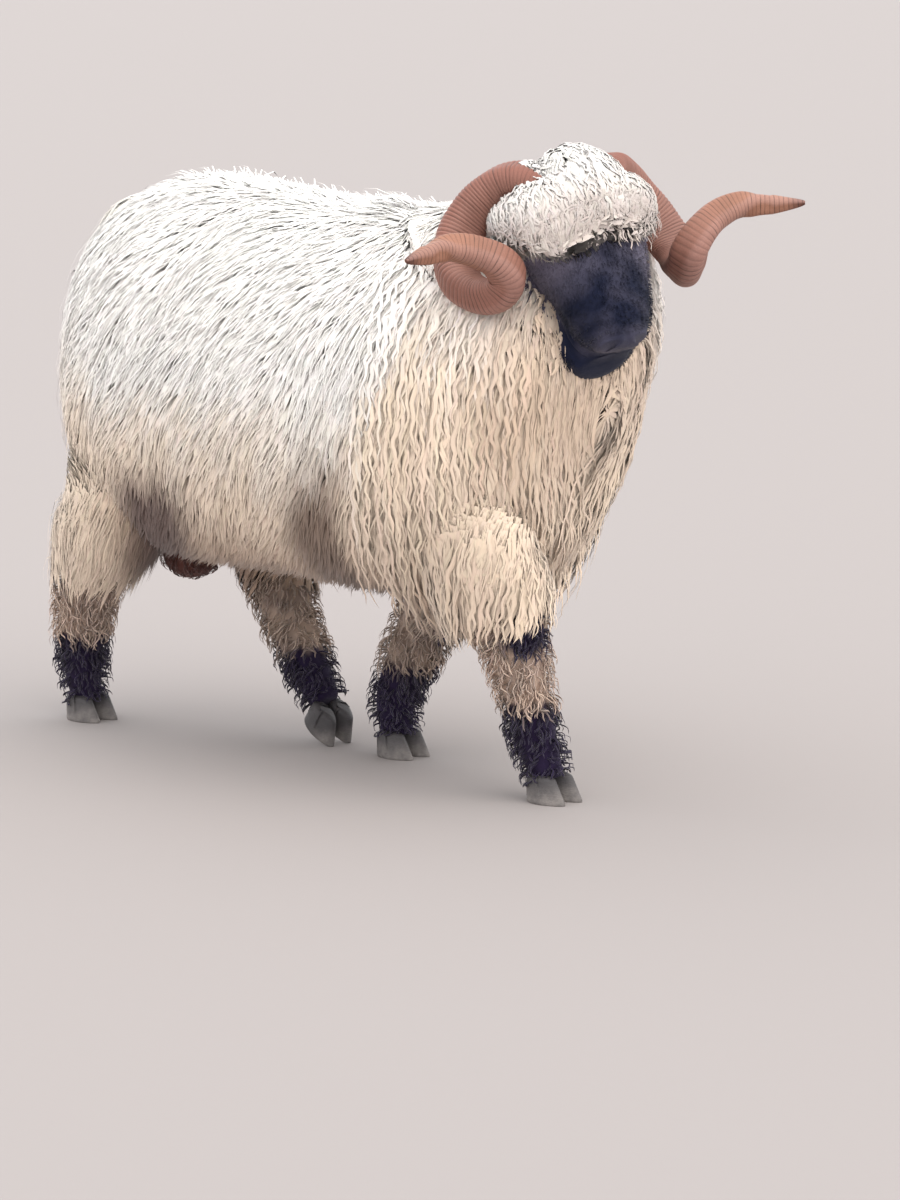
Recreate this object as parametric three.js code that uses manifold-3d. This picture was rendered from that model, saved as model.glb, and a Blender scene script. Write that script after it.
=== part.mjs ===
// A life-size Valais Blacknose ram, walking, in full fleece.
// Millimetres, +Z up. The ram faces -Y, its left side is +X, and the floor is Z = 0.
// The origin is the centre of the ram's box, at the floor.
import * as THREE from "three";
import { mergeVertices } from "three/addons/utils/BufferGeometryUtils.js";
import Module from "manifold-3d";

const wasm = await Module();
wasm.setup();

// Driving dimensions
const GAP = 0.3; // kept between touching pieces
const BOX_SHIFT = { forward: -84.3, left: 38.5 }; // moves the ram so that its box stands over the origin
const HEAD = {
  forward: 496, // midway between the horns, on the forehead
  left: -33,
  up: 898,
  turn: -24.5, // degrees about the vertical, to its right
  roll: -5.6, // degrees, its left side up
  slope: 54, // degrees, the face line below the horizontal
  poll: { along: 35, above: 62 }, // where that midpoint lies on the head's own axis
};
const FOOT = {
  track: 52, // each foot to the middle line
  claw: { length: 70, width: 35, height: 40, apart: 38 },
};
const colours = {
  fleece: 0xe9e0d0,
  face: 0x1d1a22,
  leg: 0x8a7462,
  horn: 0xb98468,
  claw: 0x3a3433,
  eye: 0x6a4a1c,
  scrotum: 0x5b3c30,
};

const { sin, cos, PI, sign, abs, pow, max } = Math;
const clamp = THREE.MathUtils.clamp;
const rad = THREE.MathUtils.degToRad;
const lerp = THREE.MathUtils.lerp;

// A point or direction of the body, given the way the ram sees it.
const body = (forward, left, up) => new THREE.Vector3(left, -forward, up);

// A repeatable stream of numbers from 0 to 1.
function stream(seed) {
  let state = seed;
  return () => {
    state = (state + 0x6d2b79f5) | 0;
    let t = Math.imul(state ^ (state >>> 15), 1 | state);
    t = (t + Math.imul(t ^ (t >>> 7), 61 | t)) ^ t;
    return ((t ^ (t >>> 14)) >>> 0) / 4294967296;
  };
}

// Catmull-Rom value of a list at t from 0 to 1, with its ends held.
function smooth(values, t) {
  const x = t * (values.length - 1);
  const i = Math.min(Math.floor(x), values.length - 2);
  const f = x - i;
  const p = (k) => values[Math.max(0, Math.min(values.length - 1, k))];
  const [a, b, c, d] = [p(i - 1), p(i), p(i + 1), p(i + 2)];
  return b + 0.5 * f * (c - a + f * (2 * a - 5 * b + 4 * c - d + f * (3 * (b - c) + d - a)));
}

// A closed mesh from a list of vertices and triangles, as a solid.
function solid(vertices, triangles) {
  const positions = new Float32Array(vertices.flatMap((v) => [v.x, v.y, v.z]));
  return new wasm.Manifold(
    new wasm.Mesh({ numProp: 3, vertProperties: positions, triVerts: new Uint32Array(triangles) }),
  );
}

// A three.js geometry with shared vertices merged, as a solid.
function solidOf(geometry, matrix = new THREE.Matrix4()) {
  const bare = geometry.clone().applyMatrix4(matrix);
  bare.deleteAttribute("normal");
  bare.deleteAttribute("uv");
  const merged = mergeVertices(bare, 1e-3);
  return new wasm.Manifold(
    new wasm.Mesh({
      numProp: 3,
      vertProperties: merged.attributes.position.array,
      triVerts: new Uint32Array(merged.index.array),
    }),
  );
}

// Rings of points joined into one closed skin. Each ring turns the right-handed way about the path.
function skin(rings, startTip, endTip) {
  const n = rings[0].length;
  const vertices = rings.flat();
  const start = vertices.push(startTip) - 1;
  const end = vertices.push(endTip) - 1;
  const triangles = [];
  for (let i = 0; i + 1 < rings.length; i++) {
    for (let j = 0; j < n; j++) {
      const a = i * n + j;
      const b = i * n + ((j + 1) % n);
      triangles.push(a, b, b + n, a, b + n, a + n);
    }
  }
  const last = (rings.length - 1) * n;
  for (let j = 0; j < n; j++) {
    const next = (j + 1) % n;
    triangles.push(start, next, j, end, last + j, last + next);
  }
  return solid(vertices, triangles);
}

// A round-bodied form: superellipse rings carried square to a smooth path.
// A station has its place (at), half width, and its reach above and below the path.
class Form {
  constructor(stations, { side = body(0, 1, 0), box = 1, boxUnder = box } = {}) {
    this.side = side;
    this.box = box;
    this.boxUnder = boxUnder;
    const list = (pick) => stations.map(pick);
    this.lists = {
      x: list((s) => s.at.x),
      y: list((s) => s.at.y),
      z: list((s) => s.at.z),
      half: list((s) => s.half),
      above: list((s) => s.above ?? s.half),
      below: list((s) => s.below ?? s.above ?? s.half),
    };
  }
  centre(u) {
    const { x, y, z } = this.lists;
    return new THREE.Vector3(smooth(x, u), smooth(y, u), smooth(z, u));
  }
  frame(u) {
    const step = 0.01;
    const along = this.centre(Math.min(1, u + step)).sub(this.centre(Math.max(0, u - step))).normalize();
    const side = this.side.clone().addScaledVector(along, -this.side.dot(along)).normalize();
    return { along, side, up: along.clone().cross(side) };
  }
  // The point at u along the path and an angle from the side towards up, set in by inset.
  point(u, angle, inset = 0) {
    const { side, up } = this.frame(u);
    const c = cos(angle);
    const s = sin(angle);
    const half = Math.max(3, smooth(this.lists.half, u) - inset);
    const reach = Math.max(3, smooth(s > 0 ? this.lists.above : this.lists.below, u) - inset);
    const power = s > 0 ? this.box : this.boxUnder;
    return this.centre(u)
      .addScaledVector(side, half * sign(c) * pow(abs(c), power))
      .addScaledVector(up, reach * sign(s) * pow(abs(s), power));
  }
  normal(u, angle) {
    const a = this.point(Math.min(1, u + 0.02), angle).sub(this.point(Math.max(0, u - 0.02), angle));
    const b = this.point(u, angle + 0.05).sub(this.point(u, angle - 0.05));
    return b.cross(a).normalize();
  }
  // Whether a point lies inside the form, set in by inset.
  contains(point, inset = 0) {
    let u = 0;
    for (let i = 1; i <= 40; i++) {
      if (this.centre(i / 40).distanceTo(point) < this.centre(u).distanceTo(point)) u = i / 40;
    }
    const { along, side, up } = this.frame(u);
    const away = point.clone().sub(this.centre(u));
    const x = away.dot(side) / max(1, smooth(this.lists.half, u) - inset);
    const z = away.dot(up) / max(1, smooth(away.dot(up) > 0 ? this.lists.above : this.lists.below, u) - inset);
    return abs(away.dot(along)) < 40 && x * x + z * z < 1;
  }
  // The form as a solid, set in by inset, or swollen on every side by grow to cut a seat for it.
  solid(rings, sides, inset = 0, grow = 0) {
    const angles = Array.from({ length: sides }, (_, j) => (2 * PI * j) / sides);
    const rows = Array.from({ length: rings }, (_, i) => i / (rings - 1));
    const along = (u) => this.frame(u).along.multiplyScalar(u < 0.5 ? -1 : 1);
    const shift = (u) => (u === 0 || u === 1 ? grow : 0);
    return skin(
      rows.map((u) =>
        angles.map((angle) => this.point(u, angle, inset - grow).addScaledVector(along(u), shift(u))),
      ),
      this.centre(0).addScaledVector(along(0), 1 + grow),
      this.centre(1).addScaledVector(along(1), 1 + grow),
    );
  }
}

// One lock of wool on a form: a flat tapered body that leaves the core at its root, runs over the
// form along its lie and ends in a tip. Its outer side reaches the form's own outline.
const LOCK_ROWS = [
  { t: 0.02, wide: 0.72, thick: 0.9, under: 1.1 },
  { t: 0.36, wide: 1, thick: 1.3, under: 0.66 },
  { t: 0.76, wide: 0.76, thick: 1, under: 0.5 },
];
const LOCK_SIDES = 5;
function lock(form, { u, angle, lie, length, width, depth, lift = 0 }, grow) {
  const at = (t, under) => form.point(clamp(u + du * t, 0, 1), angle + da * t, depth * under - lift);
  let du = 0;
  let da = 0;
  const root = at(0, 0);
  const normal = form.normal(u, angle);
  const along = lie.clone().addScaledVector(normal, -lie.dot(normal)).normalize();
  const step = 0.01;
  const alongPath = form.point(clamp(u + step, 0, 1), angle).sub(form.point(clamp(u - step, 0, 1), angle));
  const around = form.point(u, angle + step).sub(form.point(u, angle - step));
  const [pp, pa, aa] = [alongPath.dot(alongPath), alongPath.dot(around), around.dot(around)];
  const [lp, la] = [along.dot(alongPath), along.dot(around)];
  const scale = (2 * step * length) / (pp * aa - pa * pa);
  du = scale * (lp * aa - la * pa);
  da = scale * (la * pp - lp * pa);
  const rings = LOCK_ROWS.map(({ t, wide, thick, under }) => {
    const centre = at(t, under);
    const heading = at(t + 0.06, under).sub(at(t - 0.06, under)).normalize();
    const up = form.normal(clamp(u + du * t, 0.002, 0.998), angle + da * t);
    const across = up.clone().cross(heading).normalize();
    const out = heading.clone().cross(across);
    return Array.from({ length: LOCK_SIDES }, (_, j) => {
      const turn = PI / 2 + (2 * PI * j) / LOCK_SIDES;
      return centre
        .clone()
        .addScaledVector(across, (0.5 * width * wide + grow) * cos(turn))
        .addScaledVector(out, (0.5 * depth * thick + grow) * sin(turn));
    });
  });
  const tip = at(1, 0.5);
  const heading = tip.clone().sub(at(0.9, 0.5)).normalize();
  const start = at(0, 1.5).addScaledVector(root.sub(at(0.05, 0)).normalize(), grow + 1);
  return skin(rings, start, tip.addScaledVector(heading, grow * 2));
}

// Places for locks on a form: staggered rings, a distance apart along it and around it.
function places(form, { apart, across, from = 0.01, to = 0.99 }, random) {
  const found = [];
  let last = null;
  let row = 0;
  for (let u = from; u < to; u += 0.004) {
    const here = form.point(u, 0.8);
    if (last && here.distanceTo(last) < apart) continue;
    last = here;
    const ring = Array.from({ length: 16 }, (_, k) => form.point(u, (PI * k) / 8));
    const length = ring.reduce((sum, point, k) => sum + point.distanceTo(ring[(k + 1) % 16]), 0);
    const count = max(3, Math.round(length / across));
    for (let k = 0; k < count; k++) {
      const turn = (2 * PI * (k + 0.5 * (row % 2) + 0.3 * (random() - 0.5))) / count;
      found.push({ u: clamp(u + 0.012 * (random() - 0.5), from, to), angle: turn });
    }
    row++;
  }
  return found;
}

// The coat of a form: its core, and locks over it wherever keep allows.
function coat(form, { rings, sides, depth, lie, length, width, seed, keep = () => true, ...spread }, grow = 0) {
  const random = stream(seed);
  const parts = [form.solid(rings, sides, depth, grow)];
  for (const { u, angle } of places(form, spread, random)) {
    const [a, b, c, d] = [random(), random(), random(), random()];
    const place = form.point(u, angle, depth);
    if (!keep(place, u, angle)) continue;
    const wander = body(0.5 * (a - 0.5), 0.5 * (b - 0.5), 0.2 * (a - 0.5));
    const shape = {
      u,
      angle,
      lie: lie(place, u, angle).clone().normalize().add(wander),
      length: length * (0.85 + 0.3 * c),
      width: width * (0.86 + 0.28 * d),
      depth,
      lift: 3 * (c - 0.7),
    };
    parts.push(lock(form, shape, grow));
  }
  return parts;
}

const union = (solids) => wasm.Manifold.union(solids);

// Torso: from the rump to the breast, out to the tips of the coat
const torso = new Form(
  [
    { at: body(-472, 0, 610), half: 36, above: 50, below: 60 },
    { at: body(-455, 0, 608), half: 112, above: 138, below: 170 },
    { at: body(-395, 0, 602), half: 184, above: 222, below: 255 },
    { at: body(-285, 0, 592), half: 236, above: 272, below: 294 },
    { at: body(-140, 0, 582), half: 258, above: 272, below: 290 },
    { at: body(0, 0, 572), half: 266, above: 268, below: 280 },
    { at: body(150, 0, 570), half: 264, above: 266, below: 285 },
    { at: body(285, 4, 575), half: 250, above: 248, below: 290 },
    { at: body(395, 10, 580), half: 212, above: 200, below: 255 },
    { at: body(476, 20, 565), half: 145, above: 140, below: 165 },
    { at: body(506, 24, 555), half: 34, above: 34, below: 40 },
  ],
  { box: 0.9 },
);

const neck = new Form(
  [
    { at: body(170, 0, 560), half: 205, above: 200, below: 225 },
    { at: body(262, 16, 640), half: 209, above: 195, below: 238 },
    { at: body(340, 40, 722), half: 196, above: 190, below: 212 },
    { at: body(386, 34, 796), half: 162, above: 140, below: 122 },
    { at: body(408, 14, 848), half: 124, above: 92, below: 66 },
    { at: body(416, 2, 876), half: 60, above: 36, below: 36 },
  ],
  { box: 0.92 },
);

// Legs: the joints of each, with the reach of the woolly leg there
const legs = {
  front_right: {
    joints: [
      { at: body(300, -130, 520), half: 95, above: 110 },
      { at: body(380, -112, 380), half: 84, above: 96 },
      { at: body(422, -88, 240), half: 54, above: 58 },
      { at: body(434, -70, 150), half: 42, above: 43 },
      { at: body(444, -58, 85), half: 41, above: 41 },
      { at: body(462, -FOOT.track, 30), half: 34, above: 34 },
    ],
    foot: { forward: 474, left: -FOOT.track, lift: 0 },
  },
  front_left: {
    joints: [
      { at: body(255, 130, 520), half: 95, above: 110 },
      { at: body(185, 112, 370), half: 80, above: 88 },
      { at: body(122, 86, 235), half: 54, above: 58 },
      { at: body(90, 66, 150), half: 46, above: 48 },
      { at: body(68, 56, 85), half: 41, above: 41 },
      { at: body(76, FOOT.track, 30), half: 34, above: 34 },
    ],
    foot: { forward: 88, left: FOOT.track, lift: 0 },
  },
  hind_right: {
    joints: [
      { at: body(-285, -125, 520), half: 100, above: 120 },
      { at: body(-345, -116, 390), half: 88, above: 102 },
      { at: body(-434, -88, 258), half: 56, above: 64 },
      { at: body(-478, -68, 155), half: 46, above: 48 },
      { at: body(-492, -57, 85), half: 41, above: 41 },
      { at: body(-488, -FOOT.track, 30), half: 34, above: 34 },
    ],
    foot: { forward: -476, left: -FOOT.track, lift: 0 },
  },
  hind_left: {
    joints: [
      { at: body(-250, 130, 520), half: 105, above: 150 },
      { at: body(-190, 120, 390), half: 86, above: 105 },
      { at: body(-212, 90, 270), half: 56, above: 62 },
      { at: body(-158, 70, 172), half: 46, above: 48 },
      { at: body(-108, 57, 104), half: 41, above: 41 },
      { at: body(-72, FOOT.track, 62), half: 34, above: 34 },
    ],
    foot: { forward: -76, left: FOOT.track, lift: 36 },
  },
};

const tail = new Form([
  { at: body(-385, 0, 812), half: 38, above: 26 },
  { at: body(-434, 0, 770), half: 52, above: 36 },
  { at: body(-472, 0, 690), half: 56, above: 38 },
  { at: body(-482, 0, 600), half: 50, above: 36 },
  { at: body(-477, 0, 530), half: 34, above: 26 },
  { at: body(-472, 0, 505), half: 12, above: 9 },
]);

const scrotum = new Form([
  { at: body(-300, 0, 330), half: 50, above: 46 },
  { at: body(-305, 0, 285), half: 52, above: 50 },
  { at: body(-309, 0, 255), half: 44, above: 42 },
  { at: body(-311, 0, 236), half: 14, above: 12 },
]);

// The tail hangs against the rump, smooth on that side and in locks on its outer side.
const TAIL_WOOL = { rings: 7, sides: 8, depth: 9, length: 120, width: 70, apart: 96, across: 62, to: 0.8 };
function tailWool(grow = 0) {
  const outside = (at, u, angle) => sin(angle) < -0.5;
  return union(coat(tail, { ...TAIL_WOOL, seed: 8, lie: () => body(-0.05, 0, -1), keep: outside }, grow));
}

// Head, in its own frame: origin midway between the horns, the same directions as the body
const headPlace = new THREE.Matrix4()
  .makeTranslation(body(HEAD.forward, HEAD.left, HEAD.up))
  .multiply(new THREE.Matrix4().makeRotationZ(rad(HEAD.turn)))
  .multiply(new THREE.Matrix4().makeRotationY(rad(HEAD.roll)));

// A point of the head: along its axis from the poll, above that axis, and to its left.
function onHead(along, above, left) {
  const a = along - HEAD.poll.along;
  const h = above - HEAD.poll.above;
  const slope = rad(HEAD.slope);
  return body(a * cos(slope) + h * sin(slope), left, h * cos(slope) - a * sin(slope));
}
const skull = new Form(
  [
    { at: onHead(-22, -8, 0), half: 45, above: 45 },
    { at: onHead(5, -5, 0), half: 74, above: 62, below: 62 },
    { at: onHead(45, 0, 0), half: 90, above: 66, below: 78 },
    { at: onHead(95, 0, 0), half: 95, above: 64, below: 76 },
    { at: onHead(145, 4, 0), half: 86, above: 60, below: 66 },
    { at: onHead(195, 6, 0), half: 73, above: 53, below: 56 },
    { at: onHead(240, 6, 0), half: 63, above: 46, below: 46 },
    { at: onHead(268, 3, 0), half: 51, above: 37, below: 36 },
    { at: onHead(284, -2, 0), half: 32, above: 22, below: 22 },
  ],
  { box: 0.95 },
);
const jaw = new Form(
  [
    { at: onHead(55, -60, 0), half: 70, above: 30, below: 54 },
    { at: onHead(110, -66, 0), half: 84, above: 32, below: 72 },
    { at: onHead(165, -64, 0), half: 80, above: 28, below: 74 },
    { at: onHead(215, -58, 0), half: 69, above: 24, below: 66 },
    { at: onHead(254, -52, 0), half: 55, above: 19, below: 53 },
    { at: onHead(274, -46, 0), half: 36, above: 13, below: 31 },
  ],
  { box: 0.95 },
);
// The wool over the brow and temples, and the tuft that stands between the horns
const crown = new Form(
  [
    { at: body(-92, 0, -70), half: 60, above: 40, below: 40 },
    { at: body(-70, -4, -62), half: 104, above: 58, below: 46 },
    { at: body(-30, -8, -58), half: 120, above: 62, below: 36 },
    { at: body(12, -10, -54), half: 118, above: 67, below: 28 },
    { at: body(44, -10, -56), half: 108, above: 66, below: 26 },
    { at: body(62, -8, -66), half: 94, above: 44, below: 18 },
    { at: body(72, -6, -74), half: 66, above: 13, below: 8 },
  ],
  { box: 1, boxUnder: 0.8 },
);
const topknot = new Form(
  [
    { at: body(-84, 0, -26), half: 28, above: 26 },
    { at: body(-58, 0, -14), half: 50, above: 44 },
    { at: body(-12, 0, -8), half: 58, above: 52 },
    { at: body(34, 0, -22), half: 60, above: 46 },
    { at: body(66, 0, -46), half: 50, above: 32 },
    { at: body(80, 0, -60), half: 24, above: 12 },
  ],
);

const SIDES = [
  ["left", 1],
  ["right", -1],
];

// Horns: out of the forehead, round the ear in an open coil, then a flare to the side
const HORN = {
  path: [
    body(-10, 42, -32),
    body(-30, 58, -8),
    body(-56, 88, -6),
    body(-75, 124, -30),
    body(-78, 154, -62),
    body(-66, 174, -98),
    body(-36, 178, -130),
    body(-2, 163, -146),
    body(30, 147, -142),
    body(50, 142, -122),
    body(54, 158, -98),
    body(46, 188, -80),
    body(48, 228, -68),
    body(66, 270, -70),
    body(86, 310, -72),
  ],
  leftSway: body(-12, -14, -12), // how far the left horn's coil is drawn in
  wide: 72,
  deep: 60,
  coilEnds: 0.62, // how far along its length the coil passes into the flare
  middle: body(-8, 150, -72), // of the coil
  keel: 0.12, // how far its three edges stand out
  ridge: 0.03, // how far its rings stand out
  sunk: 6, // how deep its root lies in the skull
  rows: 30,
  sides: 9,
};
function horn(way, grow = 0) {
  const path = new THREE.CatmullRomCurve3(HORN.path, false, "centripetal");
  const rings = [];
  for (let i = 0; i < HORN.rows; i++) {
    const t = (i / HORN.rows) * 0.995;
    const centre = path.getPointAt(t);
    const along = path.getTangentAt(t);
    if (way > 0) centre.addScaledVector(HORN.leftSway, sin(PI * Math.min(1, t / HORN.coilEnds)));
    const out = centre.clone().sub(HORN.middle);
    out.addScaledVector(along, -out.dot(along)).normalize();
    const across = out.clone().cross(along);
    const size = pow(1 - pow(t, 2), 0.55) * (1 + (i % 2 ? HORN.ridge : -HORN.ridge));
    rings.push(
      Array.from({ length: HORN.sides }, (_, j) => {
        const angle = (2 * PI * j) / HORN.sides;
        const keel = 1 + HORN.keel * cos(3 * angle);
        return centre
          .clone()
          .addScaledVector(out, (0.5 * HORN.deep * size * keel + grow) * cos(angle))
          .addScaledVector(across, -(0.5 * HORN.wide * size * keel + grow) * sin(angle));
      }),
    );
  }
  const root = path.getPointAt(0).addScaledVector(path.getTangentAt(0), -HORN.sunk - grow);
  const tip = path.getPointAt(1).addScaledVector(path.getTangentAt(1), grow);
  return paired(skin(rings, root, tip), way).transform(headPlace.toArray());
}
function paired(made, way) {
  return way > 0 ? made : made.scale([-1, 1, 1]);
}

// Ears: a cupped leaf, which hangs out and back under the horn
const EAR = {
  root: body(-36, 60, -62),
  tip: body(-112, 158, -160),
  open: body(0.75, 0.6, -0.1), // the way the cup faces
  rise: 12, // how far the middle bows up
};
function earForm(shape, lift) {
  const along = EAR.tip.clone().sub(EAR.root);
  const stations = shape.map(({ t, half, above, below }) => ({
    at: EAR.root
      .clone()
      .addScaledVector(along, t)
      .add(body(0, 0, EAR.rise * sin(PI * t)))
      .addScaledVector(EAR.open, lift),
    half,
    above,
    below,
  }));
  return new Form(stations, { side: EAR.open.clone().cross(along).normalize() });
}
const earLeaf = earForm(
  [
    { t: 0, half: 14, above: 8, below: 10 },
    { t: 0.25, half: 25, above: 7, below: 14 },
    { t: 0.5, half: 31, above: 6, below: 14 },
    { t: 0.78, half: 25, above: 5, below: 10 },
    { t: 1, half: 7, above: 3, below: 4 },
  ],
  0,
);
const earCup = earForm(
  [
    { t: 0.12, half: 8, above: 20, below: 4 },
    { t: 0.3, half: 18, above: 24, below: 11 },
    { t: 0.5, half: 24, above: 24, below: 12 },
    { t: 0.76, half: 18, above: 24, below: 8 },
    { t: 0.92, half: 6, above: 20, below: 3 },
  ],
  4,
);
function ear(way, grow = 0) {
  const leaf = earLeaf.solid(6, 8, 0, grow);
  const made = grow ? leaf : leaf.subtract(earCup.solid(5, 8));
  return paired(made, way).transform(headPlace.toArray());
}

// Eyes, nostrils and mouth: where each lies on the head's axis, and its half sizes
const EYE = {
  along: 114,
  above: 16,
  left: 81,
  radius: 14,
  lid: { across: 15, length: 27, height: 20 },
  opening: { out: 13, across: 12, length: 18, height: 9 },
};
const MOUTH = { along: 252, above: -37, across: 72, length: 46, height: 2.6 };
const NOSTRIL = { along: 281, above: 12, left: 23, across: 5, length: 8, height: 12 };

// A ball stretched across, along and above the head's own axis.
const ball = (along, above, left, across, length, height) =>
  solidOf(
    new THREE.SphereGeometry(1, 10, 7),
    new THREE.Matrix4()
      .makeTranslation(onHead(along, above, left))
      .multiply(new THREE.Matrix4().makeRotationX(rad(HEAD.slope)))
      .multiply(new THREE.Matrix4().makeScale(across, length, height)),
  );
const eye = (way, grow = 0) => {
  const r = EYE.radius + grow;
  return ball(EYE.along, EYE.above, EYE.left * way, r, r, r).transform(headPlace.toArray());
};

// The head: skull, jaw, lids and the wool over the brow, cut for the mouth, nostrils and eyes
const FORELOCK = { rings: 6, sides: 9, depth: 22, length: 104, width: 72, apart: 76, across: 82 };
const SKULL_GRID = [14, 14]; // rings, sides
const JAW_GRID = [8, 10];
const headCores = (grow = 0) => [
  skull.solid(...SKULL_GRID, 0, grow),
  jaw.solid(...JAW_GRID, 0, grow),
  crown.solid(FORELOCK.rings, FORELOCK.sides, FORELOCK.depth, grow),
  topknot.solid(FORELOCK.rings, FORELOCK.sides, FORELOCK.depth, grow),
];
function lids() {
  const { across, length, height } = EYE.lid;
  return SIDES.map(([, way]) => ball(EYE.along, EYE.above, EYE.left * way, across, length, height));
}
const fringe = (at) => body(0.75, 0.004 * at.x, -0.7);
const forelock = () => [
  ...coat(crown, { ...FORELOCK, seed: 5, lie: fringe, keep: (at) => at.z > -86 && at.y < 40 }),
  ...coat(topknot, { ...FORELOCK, seed: 7, lie: fringe, keep: (at) => at.z > -20 && at.y < 50 }),
];
function headSolid() {
  const cuts = [ball(MOUTH.along, MOUTH.above, 0, MOUTH.across, MOUTH.length, MOUTH.height)];
  for (const [, way] of SIDES) {
    const { along, above, left, across, length, height } = NOSTRIL;
    cuts.push(ball(along, above, left * way, across, length, height));
    const opening = EYE.opening;
    const out = (EYE.left + opening.out) * way;
    cuts.push(ball(EYE.along, EYE.above, out, opening.across, opening.length, opening.height));
  }
  return union([skull.solid(...SKULL_GRID), jaw.solid(...JAW_GRID), ...forelock(), ...lids()])
    .subtract(union(cuts))
    .transform(headPlace.toArray());
}

// Claws: two to a foot, flat below, their toes forward
const TOE_FLAT = 3; // how deep a lifted claw's toe is trimmed to stand
const underFloor = solidOf(
  new THREE.BoxGeometry(400, 2000, 100),
  new THREE.Matrix4().makeTranslation(0, 0, -50),
);
function claw({ forward, left, lift }, way, grow = 0) {
  const { length, width, height, apart } = FOOT.claw;
  const sides = 12;
  const rings = [0, 0.5, 1].map((level) =>
    Array.from({ length: sides }, (_, j) => {
      const angle = (2 * PI * j) / sides;
      const reach = length * 0.5 * (1 - 0.16 * level) + grow;
      const taper = 1 - 0.28 * max(0, cos(angle));
      const slant = -height * 0.42 * level * (cos(angle) > 0 ? 1 : 0.35);
      const x = reach * cos(angle) + slant;
      const y = (width * 0.5 * (1 - 0.1 * level) + grow) * sin(angle) * taper;
      return body(x, y, height * level + (level === 0 ? -grow : level === 1 ? grow : 0));
    }),
  );
  const made = skin(
    rings,
    body(0, 0, -grow - 0.001),
    body(-length * 0.1, 0, height + grow + 2),
  );
  const toe = length * 0.5;
  const place = new THREE.Matrix4()
    .makeTranslation(body(forward + toe, left + apart * 0.5 * way, lift ? -TOE_FLAT : 0))
    .multiply(new THREE.Matrix4().makeRotationX(rad(lift)))
    .multiply(new THREE.Matrix4().makeTranslation(body(-toe, 0, 0)));
  return made.transform(place.toArray()).subtract(underFloor);
}

// A thin cut: a sheet GAP thick that follows a line of (forward, up) points from side to side.
function thinCut(points, shift, from, to) {
  const far = points.map(([f, u]) => [f + shift[0], u + shift[1]]).reverse();
  const shape = new THREE.Shape([...points, ...far].map(([f, u]) => new THREE.Vector2(f, u)));
  const made = new THREE.ExtrudeGeometry(shape, { depth: to - from, bevelEnabled: false });
  const upright = new THREE.Matrix4().makeBasis(body(1, 0, 0), body(0, 0, 1), body(0, -1, 0));
  return solidOf(made, new THREE.Matrix4().makeTranslation(body(0, to, 0)).multiply(upright));
}

const largest = (made) => made.decompose().reduce((a, b) => (b.volume() > a.volume() ? b : a));

for (const leg of Object.values(legs)) leg.form = new Form(leg.joints, { box: 0.95 });

const FLEECE = { rings: 9, sides: 10, depth: 36, length: 222, width: 180, apart: 175, across: 180 };
const RUFF = { rings: 7, sides: 10, depth: 34, length: 190, width: 104, apart: 130, across: 106 };
const LEG_WOOL = { rings: 6, sides: 7, depth: 11, length: 96, width: 74, apart: 84, across: 110, from: 0.4, to: 0.72 };
const OVERLAP = 60; // how deep a lock's root may lie inside the neighbouring form
const LEG_LOCKS_TOP = 262; // legs carry locks of their own below this height
const onTorso = {
  ...FLEECE,
  seed: 11,
  lie: () => body(-0.5, 0, -1),
  keep: (at, u, angle) => sin(angle) > -0.9 && !neck.contains(at, OVERLAP),
};
const onNeck = {
  ...RUFF,
  seed: 23,
  from: 0.16,
  lie: () => body(-0.12, 0, -1),
  keep: (at) => !torso.contains(at, OVERLAP),
};
const onLeg = (i) => ({
  ...LEG_WOOL,
  seed: 31 + i,
  lie: () => body(0, 0, -1),
  keep: (at) => at.z < LEG_LOCKS_TOP,
});
const flesh = union([
  ...coat(torso, onTorso),
  ...coat(neck, onNeck),
  scrotum.solid(6, 10),
  ...Object.values(legs).flatMap((leg, i) => coat(leg.form, onLeg(i))),
]);

// The neck is parted from the torso on a slant, and the legs and scrotum on a level
const NECK_LINE = [
  [150, 900],
  [620, 520],
];
const LEG_LINE = [
  [-700, 284],
  [700, 284],
];
const CUT_HALF = 400;
const CUTS = [
  thinCut(NECK_LINE, [0, -GAP * 1.3], -CUT_HALF, CUT_HALF),
  thinCut(LEG_LINE, [0, -GAP], -CUT_HALF, CUT_HALF),
];
const grown = [];
for (const [, way] of SIDES) grown.push(horn(way, GAP), ear(way, GAP), eye(way, GAP));
for (const leg of Object.values(legs)) grown.push(claw(leg.foot, 1, GAP), claw(leg.foot, -1, GAP));
grown.push(tailWool(GAP), union(headCores(GAP)).transform(headPlace.toArray()));
const pieces = flesh.subtract(union([...CUTS, ...grown])).decompose();
const NODES = {
  torso: body(-50, 0, 580),
  neck: body(330, 0, 740),
  front_right_leg: body(440, -75, 160),
  front_left_leg: body(100, 75, 160),
  hind_right_leg: body(-480, -75, 160),
  hind_left_leg: body(-160, 75, 160),
  scrotum: body(-336, 0, 270),
};
const SCRAP = 1e5; // cubic millimetres, below which a piece is a cut-off lock tip
const middle = (made) => {
  const { min, max: top } = made.boundingBox();
  return new THREE.Vector3((min[0] + top[0]) / 2, (min[1] + top[1]) / 2, (min[2] + top[2]) / 2);
};
const nearest = (at) =>
  pieces
    .filter((piece) => piece.volume() > SCRAP)
    .reduce((a, b) => (middle(b).distanceTo(at) < middle(a).distanceTo(at) ? b : a));

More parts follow.
